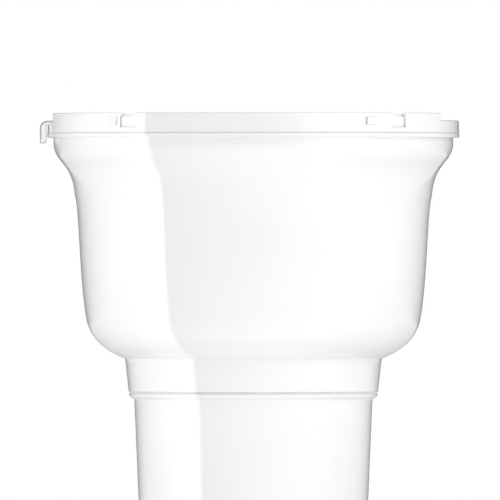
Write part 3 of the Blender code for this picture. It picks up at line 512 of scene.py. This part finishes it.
def upper_shell():
    """Flange, ogee shoulder, bowl wall, rounded bottom and neck, with the ledge inside."""
    shoulder = (SHELL_TOP_RADIUS, FLANGE_BOTTOM - 4.0)
    wall_top = (99.6, 238.4)
    wall_bottom = (92.9, 168.0)
    step = RIM_RADIUS - 0.8
    outer = [(step, SEAM + GAP - 0.03), (step, SEAM, 0.1), (RIM_RADIUS, SEAM, 0.8)]
    outer += [(RIM_RADIUS, FLANGE_BOTTOM, 0.5)]
    outer += [(SHELL_TOP_RADIUS, FLANGE_BOTTOM, 0.3), shoulder]
    outer += curve(shoulder, (110.9, 256.8), (101.2, 257.4), wall_top, 28)
    outer += curve(wall_top, (97.0, 229.9), (97.3, 189.4), wall_bottom, 16)
    outer += curve(wall_bottom, (89.8, 157.3), (81.9, 151.7), NECK_TOP, 28)
    outer += [(NECK_TOP[0] - 0.4, NECK_TOP[1] - 2.0, 1.0), (NECK_RADIUS, NECK_BOTTOM, 0.3)]

    ledge_inner, ledge_low, ledge_top = LEDGE
    inner = [(NECK_BORE, NECK_BOTTOM, 0.2), (NECK_BORE, ledge_low), (ledge_inner, ledge_low)]
    inner += [(ledge_inner, ledge_top), (NECK_BORE, ledge_top)]
    inner_neck = (NECK_BORE, NECK_TOP[1] + 1.0)
    inner_bottom = (wall_bottom[0] - WALL, wall_bottom[1] + 1.0)
    inner_wall = (wall_top[0] - WALL, wall_top[1])
    inner_shoulder = (SHELL_TOP_RADIUS - WALL, shoulder[1])
    inner += [inner_neck]
    inner += curve(inner_neck, (79.5, 153.0), (88.0, 159.5), inner_bottom, 16)
    inner += [inner_wall]
    inner += curve(inner_wall, (98.9, 252.0), (106.0, 256.5), inner_shoulder, 16)
    flange_inner = 104.0
    inner += [(SHELL_TOP_RADIUS - WALL, FLANGE_BOTTOM), (flange_inner, FLANGE_BOTTOM, 0.4)]
    inner += [(flange_inner, SEAM, 0.4), (105.4, SEAM, 0.2)]
    inner += [(105.4, 272.0), (108.6, 272.0), (108.6, SEAM, 0.2), (RIM_RADIUS - WALL, SEAM)]
    inner += [(RIM_RADIUS - WALL + 0.1, SEAM + GAP - 0.03)]
    obj = mesh_object(revolve(bmesh.new(), soften(outer + inner)), "housing_shell")
    piece(obj, WHITE, "base", "white_plastic", "upper_housing")


def pedestal_column():
    """The slim column with its bead and the dimple at each side."""
    outer = [(SPIGOT_RADIUS, PEDESTAL_HIGH.z, 0.5), (SPIGOT_RADIUS, PEDESTAL_TOP)]
    outer += [(BEAD_RADIUS, PEDESTAL_TOP, 0.25)]
    outer += curve((BEAD_RADIUS, 127.5), (69.3, 126.8), (68.6, 125.9), (66.7, 125.0), 12)
    bottom = (WAIST_RADIUS, PEDESTAL_LOW.z)
    outer += [(66.45, 124.3, 0.5), (66.2, 119.0), (64.2, 71.0), (*bottom, 0.3)]
    inner = [(bottom[0] - WALL, bottom[1]), (64.2 - WALL, 71.0), (66.2 - WALL, 119.0)]
    inner += [(SPIGOT_RADIUS - 2.4, 127.5), (SPIGOT_RADIUS - 2.4, PEDESTAL_HIGH.z, 0.5)]
    obj = mesh_object(revolve(bmesh.new(), soften(outer + inner)), "pedestal_column")
    holes = bmesh.new()
    for side in (-1, 1):
        dimple = revolve(bmesh.new(), arc((0, 0), 2.6, -90, 90, 12), 32)
        add_moved(holes, dimple, Matrix.Translation((side * 65.6, 0, DIMPLE_HEIGHT)))
    cut(obj, holes)
    piece(obj, WHITE, "base", "white_plastic", "pedestal_housing")


def flared_skirt():
    """The foot: a cove down to an upright band, cut for the knob's shaft and the inlet."""
    seam = (WAIST_RADIUS, PEDESTAL_LOW.z - GAP)
    band = (BASE_RADIUS - 1.5, BAND_TOP)
    collar = WAIST_RADIUS - WALL - 0.4
    collar_inner = (collar - 2.1, PEDESTAL_LOW.z - 3.0)
    inner_band = (band[0] - WALL, band[1] - WALL)
    outer = [(collar_inner[0], SKIRT_HIGH.z), (collar, SKIRT_HIGH.z, 0.5), (collar, seam[1])]
    outer += [(*seam, 0.3)] + curve(seam, (63.2, 46.0), (68.0, 39.0), band, 28)
    outer += [(BASE_RADIUS, BAND_TOP - 2.0, 1.2), (BASE_RADIUS, SKIRT_LOW.z, 1.0)]
    inner = [(BASE_RADIUS - WALL, SKIRT_LOW.z, 0.3), (BASE_RADIUS - WALL, BAND_TOP - 2.0 - WALL)]
    inner += [inner_band] + curve(inner_band, (65.2, 36.2), (60.4, 43.2), collar_inner, 12)
    obj = mesh_object(revolve(bmesh.new(), soften(outer + inner)), "flared_skirt")
    knob_z = (KNOB_LOW.z + KNOB_HIGH.z) / 2
    holes = bmesh.new()
    low = (INLET_LOW.x - GAP, 70.0, INLET_LOW.z - GAP)
    high = (INLET_HIGH.x + GAP, 90.0, INLET_HIGH.z + GAP)
    box(holes, low, high)
    rod(holes, 4.6, (0, -90, knob_z), (0, -70, knob_z), FINE_STEPS)
    cut(obj, holes)
    piece(obj, WHITE, "base", "white_plastic", "base_skirt")


def rim_blocks():
    """Raised blocks beside the notches, each ramping up to its upright end."""
    bm = bmesh.new()
    proud, flush = RIM_RADIUS + 1.0, RIM_WALL - 0.2
    inner, half = RIM_INNER + 1.2, BLOCK_WIDTH / 2
    for azimuth, side, _ in BLOCKS:
        first, last = (proud, flush) if side < 0 else (flush, proud)
        for turn in HALF_TURNS:
            sector(bm, inner, first, *BLOCK_SPAN, azimuth + turn, half, 8, last)
    return bm


def low_stretches():
    """Cutters that lower the rim at its two sides."""
    bm = bmesh.new()
    for middle, half in LOW_STRETCHES:
        sector(bm, RIM_INNER - 4, RIM_RADIUS + 6, LOW_TOP, RIM_TOP + 5, middle, half, 48)
    return bm


def round_low_top(obj):
    """Rounds the outer top edge of the rim's low stretches as softly as that of the raised ones."""
    bm = bmesh.new()
    bm.from_mesh(obj.data)
    edges = []
    for edge in bm.edges:
        low = all(abs(vert.co.z / MM - LOW_TOP) < 0.01 for vert in edge.verts)
        outer = all(math.hypot(vert.co.x, vert.co.y) / MM > RIM_WALL - 0.2 for vert in edge.verts)
        if low and outer:
            edges.append(edge)
    bmesh.ops.bevel(bm, geom=edges, offset=0.7 * MM, segments=4, profile=0.5, affect="EDGES")
    bm.to_mesh(obj.data)
    bm.free()


def rim_notches():
    """Cutters for the lugs' notches, the hook's slot and the grooves at the blocks' ends."""
    bm = bmesh.new()
    inside, outside, above = RIM_INNER - 4, RIM_RADIUS + 6, RIM_TOP + 5
    for azimuth, _ in NOTCHES:
        for turn in HALF_TURNS:
            half = NOTCH_WIDTH / 2
            sector(bm, inside, outside, NOTCH_BOTTOM, above, azimuth + turn, half)
    first, last, bottom = HOOK_SLOT
    sector(bm, inside, outside, bottom, RIM_TOP, (first + last) / 2, (last - first) / 2, 24)
    for azimuth, side, half in BLOCKS:
        for turn in HALF_TURNS:
            at = azimuth + turn + side * (BLOCK_WIDTH / 2 + 0.1)
            sector(bm, RIM_RADIUS - 0.9, outside, *BLOCK_SPAN, at, half, 2)
    return bm


def block_lines():
    """Cutters for the fine lines along the blocks' upper and lower edges."""
    bm = bmesh.new()
    for azimuth, side, _ in BLOCKS:
        for turn in HALF_TURNS:
            at = azimuth + turn + side * 0.4
            for edge in BLOCK_SPAN:
                low, high = edge - 0.12, edge + 0.12
                sector(bm, RIM_WALL - 0.4, RIM_RADIUS + 6, low, high, at, 1.6, 6)
    return bm


def lug_grooves():
    """Cutters for the grooves under the rim's wall that the lugs turn into."""
    bm = bmesh.new()
    half = (LOCK_TRAVEL + NOTCH_WIDTH) / 2
    for azimuth, _ in NOTCHES:
        for turn in HALF_TURNS:
            at = azimuth + turn - LOCK_TRAVEL / 2 - 0.2
            sector(bm, RIM_INNER - 4, GROOVE_RADIUS, *GROOVE_SPAN, at, half, 24)
    return bm


def rim_wall():
    """The rim: raised in front and behind, low at the sides, with notches, blocks and grooves."""
    low = RIM_LOW.z
    outline = [(RIM_INNER, low), (RIM_RADIUS, low, 0.8), (RIM_RADIUS, low + 0.9)]
    outline += [(RIM_WALL, low + 1.7), (RIM_WALL, RIM_TOP, 0.7), (RIM_INNER, RIM_TOP, 0.4)]
    obj = mesh_object(revolve(bmesh.new(), soften(outline)), "rim_wall")
    join(obj, rim_blocks())
    cut(obj, low_stretches())
    round_low_top(obj)
    cut(obj, rim_notches())
    cut(obj, block_lines())
    cut(obj, lug_grooves())
    round_edges(obj, 0.22)
    piece(obj, WHITE, "base", "white_plastic", "rim_ring")


def seals():
    """The silicone rings: under the lid, and in the groove between neck and pedestal."""
    low, high = corners("lid_seal")
    inner, outer = 105.7, 108.3
    outline = [(inner, low.z, 0.4), (outer, low.z, 0.4)]
    outline += [(outer, high.z, 0.9), (inner, high.z, 0.9)]
    obj = mesh_object(revolve(bmesh.new(), soften(outline)), "lid_gasket")
    piece(obj, SILICONE, "base", "silicone", "lid_seal")
    low, high = corners("neck_gasket")
    inner, outer, overlap = 66.9, high.x, 0.26
    bottom, top = low.z - overlap, high.z + overlap
    outline = [(inner, bottom), (outer, bottom, 0.1), (outer, top, 0.1), (inner, top)]
    obj = mesh_object(revolve(bmesh.new(), soften(outline)), "neck_ring")
    piece(obj, SILICONE, "base", "silicone", "neck_gasket")


# ---------------------------------------------------------------- lid


def clear_lid():
    """The clear disc: flange, collar bead, hub, ribs, and the feed opening with its chute."""
    plate_low, plate_top = LID_PLATE
    collar = 96.4
    outline = [(0, LID_LOW.z), (12.5, LID_LOW.z, 0.8), (12.5, plate_low, 0.8), (93.0, plate_low)]
    outline += [(94.0, 274.7), (111.4, 274.7, 0.4), (111.4, 276.3, 0.4), (collar, 276.3)]
    outline += [(collar, 279.9), (collar + 0.9, 280.5), (collar + 0.9, 281.4, 0.4)]
    outline += [(93.6, 281.4, 0.8), (92.6, plate_top, 0.8), (17.0, plate_top, 1.2)]
    outline += [(15.0, 281.0, 0.8), (13.0, LID_HIGH.z, 0.8), (0, LID_HIGH.z)]
    obj = mesh_object(revolve(bmesh.new(), soften(outline)), "clear_lid_disc")
    walls = bmesh.new()
    inner, outer = FEED_SPAN
    sector(walls, inner - 1.8, outer + 1.8, 266.5, 275.0, 0, FEED_HALF_ANGLE + 2.0, 24)
    pin_y, pin_z = CAP_PIN
    for side in (-1, 1):
        near, far = sorted((side * 10.0, side * 13.5))
        box(walls, (near, pin_y - 2.5, 275.0), (far, pin_y + 2.5, pin_z + 2.3))
    for i in range(10):
        azimuth = 45 + 30 * i
        start, end = Vector(polar(15.6, azimuth)), Vector(polar(93.5, azimuth))
        across = Vector(polar(0.6, azimuth + 90))
        rib = [(start - across)[:2], (end - across)[:2], (end + across)[:2], (start + across)[:2]]
        prism(walls, rib, 275.4, 277.4)
    join(obj, walls)
    holes = bmesh.new()
    sector(holes, inner, outer, 260, 290, 0, FEED_HALF_ANGLE, 24)
    rod(holes, 1.4, (-30, pin_y, pin_z), (30, pin_y, pin_z), 24)
    rod(holes, 6.9, (0, 0, 255.0), (0, 0, 273.0), 6)
    cut(obj, holes)
    round_edges(obj, 0.25)
    piece(obj, CLEAR, "lid", "clear_plastic", "lid_disc")


def feed_flap():
    """The clear flap with its plug, hinge knuckle and finger tab."""
    inner, outer = FEED_SPAN
    plate = sector(bmesh.new(), inner - 2.4, outer + 3.0, 276.7, 278.8, 0, 26.5, 32)
    obj = mesh_object(plate, "feed_flap")
    plug_half = FEED_HALF_ANGLE - 0.9
    join(obj, sector(bmesh.new(), inner + 0.8, outer - 0.8, 274.6, 277.5, 0, plug_half, 32))
    pin_y, pin_z = CAP_PIN
    knuckle = bmesh.new()
    box(knuckle, (-9.4, -inner - 1.0, pin_z - 2.0), (9.4, pin_y + 1.8, CAP_TOP))
    join(obj, knuckle)
    tab = bmesh.new()
    sector(tab, outer + 2.0, outer + 9.0, 277.3, 279.4, 0, 5.0, 8)
    join(obj, tab)
    grips = bmesh.new()
    for reach in (outer + 4.4, outer + 6.0, outer + 7.6):
        sector(grips, reach - 0.35, reach + 0.35, 279.0, 279.75, 0, 4.0, 8)
    join(obj, grips)
    bore = bmesh.new()
    rod(bore, 1.4, (-20, pin_y, pin_z), (20, pin_y, pin_z), 24)
    cut(obj, bore)
    round_edges(obj, 0.35)
    piece(obj, CLEAR, "feed_cap", "clear_plastic", "feed_cap")


def hinge_pin():
    """The flap's pin, with domed ends."""
    low, high = corners("feed_cap_pin")
    radius = (high.z - low.z) / 2
    length = high.x - low.x
    outline = [(0, 0), (radius, 0, 0.4), (radius, length, 0.4), (0, length)]
    shape = revolve(bmesh.new(), soften(outline), 24)
    matrix = Matrix.Translation((low.x, *CAP_PIN)) @ Matrix.Rotation(math.radians(90), 4, "Y")
    obj = mesh_object(add_moved(bmesh.new(), shape, matrix), "flap_hinge_pin")
    piece(obj, STEEL, "lid", "steel", "feed_cap_pin")


def turning_ring():
    """The ring that locks the lid: lugs with tabs behind, an inner lip, ridges beside the hook."""
    low, top = RING_LOW.z, LOCK_RING_TOP
    inner, outer = 97.0, 111.2
    outline = [(inner, low, 0.3), (outer, low, 0.4), (outer, top - 0.2, 0.6)]
    outline += [(109.6, top - 0.2), (109.2, top - 0.7), (99.6, top - 0.7), (99.2, top)]
    outline += [(inner, top, 0.5)]
    obj = mesh_object(revolve(bmesh.new(), soften(outline)), "turning_ring")
    lugs, tabs = bmesh.new(), bmesh.new()
    lug_half, tab_half = NOTCH_WIDTH / 2 - 0.08, TAB_WIDTH / 2
    for azimuth, reach in NOTCHES:
        for turn in HALF_TURNS:
            at = azimuth + turn
            sector(lugs, outer - 2, reach, low - 0.2, LUG_TOP, at, lug_half, 8)
            sector(tabs, outer - 2.6, TAB_RADIUS, low + 1, RING_HIGH.z, at, tab_half, 8)
    join(obj, lugs)
    join(obj, tabs)
    ridges = bmesh.new()
    for i in range(-11, 12):
        if abs(i) > 4:
            sector(ridges, 101.0, 108.0, top - 1.2, top, -90 + 1.6 * i, 0.28, 1)
    join(obj, ridges)
    seat = bmesh.new()
    half = HOOK_HIGH.y + GAP
    box(seat, (-outer - 5, -half, 277.9), (HOOK_HIGH.x + GAP, half, top + 5))
    cut(obj, seat)
    round_edges(obj, 0.2)
    piece(obj, WHITE, "lock_ring", "white_plastic", "lock_ring")


def finger_hook():
    """A flat arm in the ring, bent down outside the rim, its top and outside crowned across."""
    inner_end, reach = HOOK_HIGH.x, HOOK_LOW.x
    arm, leg, stations = 2.0, 3.5, 32
    bm = bmesh.new()
    loops = []
    for i in range(stations + 1):
        across = 2 * i / stations - 1
        y = HOOK_HIGH.y * across
        top = HOOK_HIGH.z - 0.75 * across**2
        outside = reach + 1.1 * across**2
        tip = HOOK_LOW.z + 0.9 * across**4
        under, inside = HOOK_HIGH.z - arm, reach + leg
        outline = [(inner_end, top, 0.3), (outside + 4.0, top)]
        outline += arc((outside + 4.0, top - 4.0), 4.0, 90, 180, 14)[1:]
        outline += [(outside, tip, 0.7), (inside - 0.6, tip, 0.6), (inside, tip + 1.3, 0.4)]
        outline += [(inside, under, 1.0), (inner_end, under, 0.3)]
        loops.append([bm.verts.new((x, y, z)) for x, z in soften(outline, 6)])
    for near, far in zip(loops, loops[1:]):
        for k in range(len(near)):
            after = (k + 1) % len(near)
            bm.faces.new((near[k], near[after], far[after], far[k]))
    bm.faces.new(loops[0])
    bm.faces.new(loops[-1])
    obj = mesh_object(bm, "finger_hook")
    round_edges(obj, 0.45, 3, 50)
    piece(obj, WHITE, "lock_ring", "white_plastic", "turn_hook")


def paddle():
    """The still dasher: stem, blades with scraping edges, windows and slanted bars."""
    reach, low = DASHER_HIGH.x, DASHER_LOW.z
    high, stem_top = 260.0, DASHER_HIGH.z
    bend = 13.0
    outline = [(reach - bend, low)] + arc((reach - bend, low + bend), bend, -90, 0, 16)[1:]
    outline += [(reach, high, 3.0), (reach - 9.0, high, 3.0), (reach - 12.0, high - 12.0, 5.0)]
    outline += [(6.0, high - 16.0, 2.0)]
    mirrored = [(-point[0], *point[1:]) for point in reversed(outline)]
    flat = prism(bmesh.new(), soften(outline + mirrored, 6), -1.5, 1.5)
    obj = mesh_object(upright(flat), "dasher_paddle")
    stem = bmesh.new()
    rod(stem, 6.5, (0, 0, low), (0, 0, stem_top), 6)
    join(obj, stem)
    for left, right in ((9.0, 34.0), (41.0, 66.0)):
        for bottom, top in ((183.0, 208.0), (214.0, 236.0)):
            for side in (-1, 1):
                near, far = sorted((side * left, side * right))
                window = [(near, bottom), (far, bottom), (far, top), (near, top)]
                window = soften([(*corner, 4.0) for corner in window], 6)
                cut(obj, upright(prism(bmesh.new(), window, -9, 9)))
    round_edges(obj, 0.7, 3, 50)
    piece(obj, WHITE, "lid", "white_plastic", "dasher")


# ---------------------------------------------------------------- freezer bowl


def bowl_outside(inset):
    """The bowl's outline from the axis to the rim, moved inwards by inset."""
    low = BOWL_LOW.z + inset
    flat = (64.0 - 0.4 * inset, low)
    side = (85.0 - inset, BOWL_LOW.z + 21.0)
    points = [(0, low), flat]
    points += curve(flat, (77.0 - inset, low), (83.6 - inset, low + 8.0 - 0.5 * inset), side, 16)
    return points + [(BOWL_HIGH.x - inset, BOWL_HIGH.z)]


def bowl_pieces():
    """The white shell and the spun metal liner with its rolled rim."""
    outline = bowl_outside(0) + list(reversed(bowl_outside(2.2)))
    obj = mesh_object(revolve(bmesh.new(), outline), "bowl_shell")
    pads = bmesh.new()
    keys = bmesh.new()
    for x, y in spread_round(3, 46.0, 30):
        rod(pads, 7.4, (x, y, BOWL_LOW.z + 0.5), (x, y, BOWL_LOW.z + 7.5), 32)
        rod(keys, 5.4, (x, y, BOWL_LOW.z - 5), (x, y, BOWL_LOW.z + 5.5), 32)
    join(obj, pads)
    cut(obj, keys)
    piece(obj, WHITE, "turntable", "white_plastic", "freezer_bowl_shell")

    inside, thin = 76.0, 1.2
    rim, top = LINER_HIGH.z - 1.6, LINER_HIGH.z
    edge = LINER_HIGH.x
    corner, low = 14.0, LINER_LOW.z + thin
    centre = (inside - 1.5 - corner, low + corner)
    outline = [(0, low - thin)] + arc(centre, corner + thin, -90, 0, 12)
    outline += [(inside + thin, rim, 0.6), (edge, rim, 0.5), (edge, top, 0.8)]
    outline += [(inside + 0.6, top, 1.2), (inside, rim)] + arc(centre, corner, 0, -90, 12)
    for reach in (44.0, 24.0):
        outline += [(reach + 1.2, low), (reach + 0.6, low - 0.35)]
        outline += [(reach, low - 0.35), (reach - 0.6, low)]
    outline += [(0, low)]
    obj = mesh_object(revolve(bmesh.new(), soften(outline)), "bowl_liner")
    piece(obj, STEEL, "turntable", "steel", "freezer_bowl_liner")


# ---------------------------------------------------------------- foot


def base_pan():
    """The bottom cover: air slots, recessed screw holes, foot seats and a stiffening ring."""
    outer = PLATE_HIGH.x
    low, high = PLATE_LOW.z, PLATE_HIGH.z
    outline = [(0, low), (56.0, low), (56.4, low + 0.6), (58.6, low + 0.6), (59.0, low)]
    outline += [(outer, low, 0.8), (outer, high, 0.3), (outer - 2, high, 0.3), (outer - 2, 6.6)]
    outline += [(0, 6.6)]
    obj = mesh_object(revolve(bmesh.new(), soften(outline)), "base_pan")
    holes = bmesh.new()
    for centre in spread_round(4, 66.0, 45):
        stepped = [(0, 0), (3.8, 0), (3.8, 4.9), (2.0, 4.9), (2.0, 12), (0, 12)]
        revolve(holes, stepped, 32, centre)
    for azimuth in range(0, 360, 45):
        sector(holes, 26, 48, 0, 12, azimuth, 2.6, 4)
    for x, y in spread_round(4, 66.0):
        rod(holes, 6.3, (x, y, 0), (x, y, 5.2), 48)
    cut(obj, holes)
    round_edges(obj, 0.2)
    piece(obj, GREY, "base", "grey_plastic", "base_plate")


def rubber_feet():
    """The feet, each with a groove in its sole."""
    for name in ("front", "right", "rear", "left"):
        low, high = corners("foot_" + name)
        centre = ((low.x + high.x) / 2, (low.y + high.y) / 2)
        outline = [(0, low.z), (2.6, low.z), (2.9, 0.4), (3.5, 0.4), (3.8, low.z)]
        outline += [(7.0, low.z, 0.4), (8.0, 1.0, 0.4), (8.0, 3.6, 0.3)]
        outline += [(6.0, 3.7), (6.0, high.z, 0.3), (0, high.z)]
        shape = revolve(bmesh.new(), soften(outline), FINE_STEPS, centre)
        obj = mesh_object(shape, name + "_foot_pad")
        piece(obj, RUBBER, "base", "rubber", "foot_" + name)


def cross_screws():
    """The screws under the base, with domed heads and cross recesses."""
    for number in range(1, 5):
        node = f"base_screw_{number}"
        low, high = corners(node)
        centre = ((low.x + high.x) / 2, (low.y + high.y) / 2)
        seat = low.z + 2.2
        outline = [(0, low.z), (1.6, low.z + 0.15), (2.6, low.z + 0.7), (3.2, low.z + 1.4, 0.2)]
        outline += [(3.2, seat, 0.1), (1.4, seat), (1.4, high.z - 1.8), (0, high.z)]
        shape = revolve(bmesh.new(), soften(outline), 40, centre)
        obj = mesh_object(shape, f"cross_screw_{number}")
        x, y = centre
        for wide, deep in ((0.45, 1.9), (1.9, 0.45)):
            near, far = (x - wide, y - deep, low.z - 1), (x + wide, y + deep, low.z + 1.1)
            cut(obj, box(bmesh.new(), near, far))
        round_edges(obj, 0.08, 2, 60)
        piece(obj, STEEL, "base", "steel", node)


def dial():
    """The knob with a fluted grip, and its pointer."""
    radius = (KNOB_HIGH.x - KNOB_LOW.x) / 2
    height = 12.0

    def flutes(turn, reach, z):
        grip = 3.2 < z < height - 1.5 and reach > radius * 0.8
        return reach - 0.45 * (0.5 + 0.5 * math.cos(20 * turn)) if grip else reach

    outline = [(3.3, 0.5), (radius, 0.5, 0.4), (radius, 3.0, 0.4), (radius - 0.5, 3.4)]
    outline += [(radius - 0.7, 5.5), (radius - 0.9, 8.0), (radius - 1.0, height - 1.6)]
    outline += [(radius - 1.6, height - 0.7, 0.6), (radius - 3.0, height, 1.0), (0, height)]
    outline += [(0, 10.8), (3.3, 10.8)]
    shape = revolve(bmesh.new(), soften(outline), 160, swell=flutes)
    facing = Matrix.Rotation(math.radians(90), 4, "X")
    matrix = Matrix.Translation((0, -BASE_RADIUS, (KNOB_LOW.z + KNOB_HIGH.z) / 2)) @ facing
    obj = mesh_object(add_moved(bmesh.new(), shape, matrix), "dial_knob")
    piece(obj, WHITE, "knob", "white_plastic", "control_knob")

    mark = box(bmesh.new(), (-0.9, 1.5, height - 0.6), (0.9, radius - 2.0, height + 0.5))
    obj = mesh_object(add_moved(bmesh.new(), mark, matrix), "dial_pointer")
    round_edges(obj, 0.25)
    piece(obj, PRINT, "knob", "grey_plastic")


def dial_scale():
    """The printed ticks round the knob, on the foot's curved band."""
    middle = (KNOB_LOW.z + KNOB_HIGH.z) / 2
    radius = (KNOB_HIGH.x - KNOB_LOW.x) / 2
    ticks = bmesh.new()
    for i in range(7):
        angle = math.radians(-90 + 15 * i)
        start, end = radius + 2.2, radius + (5.2 if i % 3 == 0 else 4.0)
        along = Vector((-math.sin(angle), math.cos(angle)))
        across = Vector((along.y, -along.x)) * 0.35
        outline = [along * start - across, along * end - across, along * end + across]
        outline += [along * start + across]
        outline = [(-p.x, p.y) for p in outline]
        faces = []
        for reach in (BASE_RADIUS - 0.3, BASE_RADIUS + 0.06):
            points = [polar(reach, math.degrees(x / reach), middle + z) for x, z in outline]
            faces.append([ticks.verts.new(point) for point in points])
        ticks.faces.new(faces[0])
        ticks.faces.new(faces[1])
        for a in range(4):
            b = (a + 1) % 4
            ticks.faces.new((faces[0][a], faces[0][b], faces[1][b], faces[1][a]))
    piece(mesh_object(ticks, "dial_ticks"), PRINT, "base", "grey_plastic")


def power_inlet():
    """The inlet: a chamfered frame round a deep socket with two bright pins."""
    low, high = INLET_LOW, INLET_HIGH
    middle = (low.z + high.z) / 2
    obj = mesh_object(box(bmesh.new(), low, high), "inlet_frame")
    opening = [(-9.5, -4.0, 3.6), (9.5, -4.0, 3.6), (9.5, 4.0, 3.6), (-9.5, 4.0, 3.6)]
    matrix = Matrix.Translation((0, 90.0, middle)) @ Matrix.Rotation(math.radians(90), 4, "X")
    socket = prism(bmesh.new(), soften(opening, 6), 0, 18.0)
    cut(obj, add_moved(bmesh.new(), socket, matrix))
    round_edges(obj, 0.6, 3, 50)
    piece(obj, GREY, "base", "grey_plastic", "mains_inlet")
    pins = bmesh.new()
    for x in (-4.0, 4.0):
        outline = [(0, 0), (1.2, 0), (1.2, 11.0, 0.8), (0, 11.0)]
        pin = revolve(bmesh.new(), soften(outline), 24)
        turn = Matrix.Rotation(math.radians(-90), 4, "X")
        add_moved(pins, pin, Matrix.Translation((x, 70.0, middle)) @ turn)
    piece(mesh_object(pins, "inlet_pins"), STEEL, "base", "steel")


# ---------------------------------------------------------------- build


def dress_cad_nodes():
    """Every CAD node gets the node material of its slot, seen or not."""
    slots = {entry["node"]: entry["material_slot"] for entry in frame["record"]["subparts"]}
    for name, obj in frame["nodes"].items():
        for holder in obj.material_slots:
            holder.material = SLOT_LOOKS[slots[name]]


def stage_floor():
    """A plain pale floor that ends out of the main view."""
    n = Nodes("pale_floor")
    cloud = n.noise(3.0, 4.0)
    fine = n.noise(400.0, 3.0)
    tint = n.tint(n.spread(cloud, 0.0, 1.0), (0.80, 0.80, 0.80), (0.82, 0.82, 0.82))
    surface = n.finish(tint, n.spread(cloud, 0.55, 0.65), n.bump(fine, 0.05, 0.0002))
    low, top, reach = -20.0, -0.2, 1700.0
    outline = [(0, low), (reach, low), (reach, top), (0, top)]
    obj = mesh_object(revolve(bmesh.new(), outline, 128), "floor")
    obj.data.materials.append(surface)


def studio_world():
    """A soft white room: the camera sees plain white, and the object a room that dims behind it."""
    world = bpy.data.worlds.new("studio")
    bpy.context.scene.world = world
    world.use_nodes = True
    tree = world.node_tree
    nodes, links = tree.nodes, tree.links
    nodes.clear()

    def math_node(operation, first, second):
        node = nodes.new("ShaderNodeMath")
        node.operation = operation
        for socket, value in zip(node.inputs, (first, second)):
            if isinstance(value, (int, float)):
                socket.default_value = value
            else:
                links.new(value, socket)
        return node.outputs["Value"]

    place = nodes.new("ShaderNodeTexCoord")
    parts = nodes.new("ShaderNodeSeparateXYZ")
    links.new(place.outputs["Generated"], parts.inputs["Vector"])
    forward = math_node("MULTIPLY", parts.outputs["Y"], -1)
    azimuth = math_node("ARCTAN2", parts.outputs["X"], forward)
    turn = math_node("DIVIDE", math_node("ABSOLUTE", azimuth, 0), math.pi)
    room = nodes.new("ShaderNodeValToRGB")
    stops = room.color_ramp.elements
    stops.remove(stops[0])
    for i, (angle, level) in enumerate(ROOM_LEVELS):
        stop = stops[0] if i == 0 else stops.new(angle / 180)
        stop.position = angle / 180
        stop.color = (level, level, level, 1)
    links.new(turn, room.inputs["Fac"])

    soft = nodes.new("ShaderNodeBackground")
    links.new(room.outputs["Color"], soft.inputs["Color"])
    seen = nodes.new("ShaderNodeBackground")
    seen.inputs["Color"].default_value = (1, 1, 1, 1)
    path = nodes.new("ShaderNodeLightPath")
    mix = nodes.new("ShaderNodeMixShader")
    links.new(path.outputs["Is Camera Ray"], mix.inputs["Fac"])
    links.new(soft.outputs["Background"], mix.inputs[1])
    links.new(seen.outputs["Background"], mix.inputs[2])
    out = nodes.new("ShaderNodeOutputWorld")
    links.new(mix.outputs["Shader"], out.inputs["Surface"])


def area_light(name, size, energy, location, target, spread=180.0):
    """A lamp that the camera doesn't see, turned towards its target."""
    light = bpy.data.objects.new(name, bpy.data.lights.new(name, "AREA"))
    light.data.shape = "RECTANGLE"
    light.data.size, light.data.size_y = size
    light.data.energy = energy
    light.data.spread = math.radians(spread)
    light.location = location
    direction = Vector(target) - Vector(location)
    light.rotation_euler = direction.to_track_quat("-Z", "Y").to_euler()
    light.visible_camera = False
    bpy.context.scene.collection.objects.link(light)
    return light


def studio():
    """World, lights and camera."""
    studio_world()
    area_light("key", (1.6, 1.6), KEY_ENERGY, polar(1.8, 48.0, 0.9), AIM)
    rear = area_light("rear", (2.0, 2.0), REAR_ENERGY, polar(1.8, 180.0, 0.7), AIM)
    rear.visible_glossy = False
    area_light("floor_glow", (3.0, 3.0), GLOW_ENERGY, (0, -1.6, 0.001), (0, -1.6, 1))

    # A narrow beam from the left: its straight side draws the edge of light down the front
    across = Vector(polar(1.0, BEAM_AZIMUTH - 90))
    middle = across * (BEAM_EDGE + BEAM_SIZE[0] / 2) + Vector(AIM)
    start = middle + Vector(polar(0.9, BEAM_AZIMUTH))
    area_light("side_beam", BEAM_SIZE, BEAM_ENERGY, start, middle, BEAM_SPREAD)

    scene = bpy.context.scene
    scene.view_settings.view_transform = "Standard"
    camera = bpy.data.objects.new("camera", bpy.data.cameras.new("camera"))
    camera.data.lens = CAMERA_LENS
    camera.data.sensor_width = CAMERA_SENSOR
    camera.data.clip_end = 100.0
    distance = FRAME_WIDTH * CAMERA_LENS / CAMERA_SENSOR
    camera.location = (CAMERA_ASIDE, -distance, CAMERA_HEIGHT)
    camera.rotation_euler = (math.radians(90), 0, 0)
    scene.collection.objects.link(camera)
    scene.camera = camera


dress_cad_nodes()
upper_shell()
pedestal_column()
flared_skirt()
rim_wall()
seals()
clear_lid()
feed_flap()
hinge_pin()
turning_ring()
finger_hook()
paddle()
bowl_pieces()
base_pan()
rubber_feet()
cross_screws()
dial()
dial_scale()
power_inlet()
stage_floor()
studio()
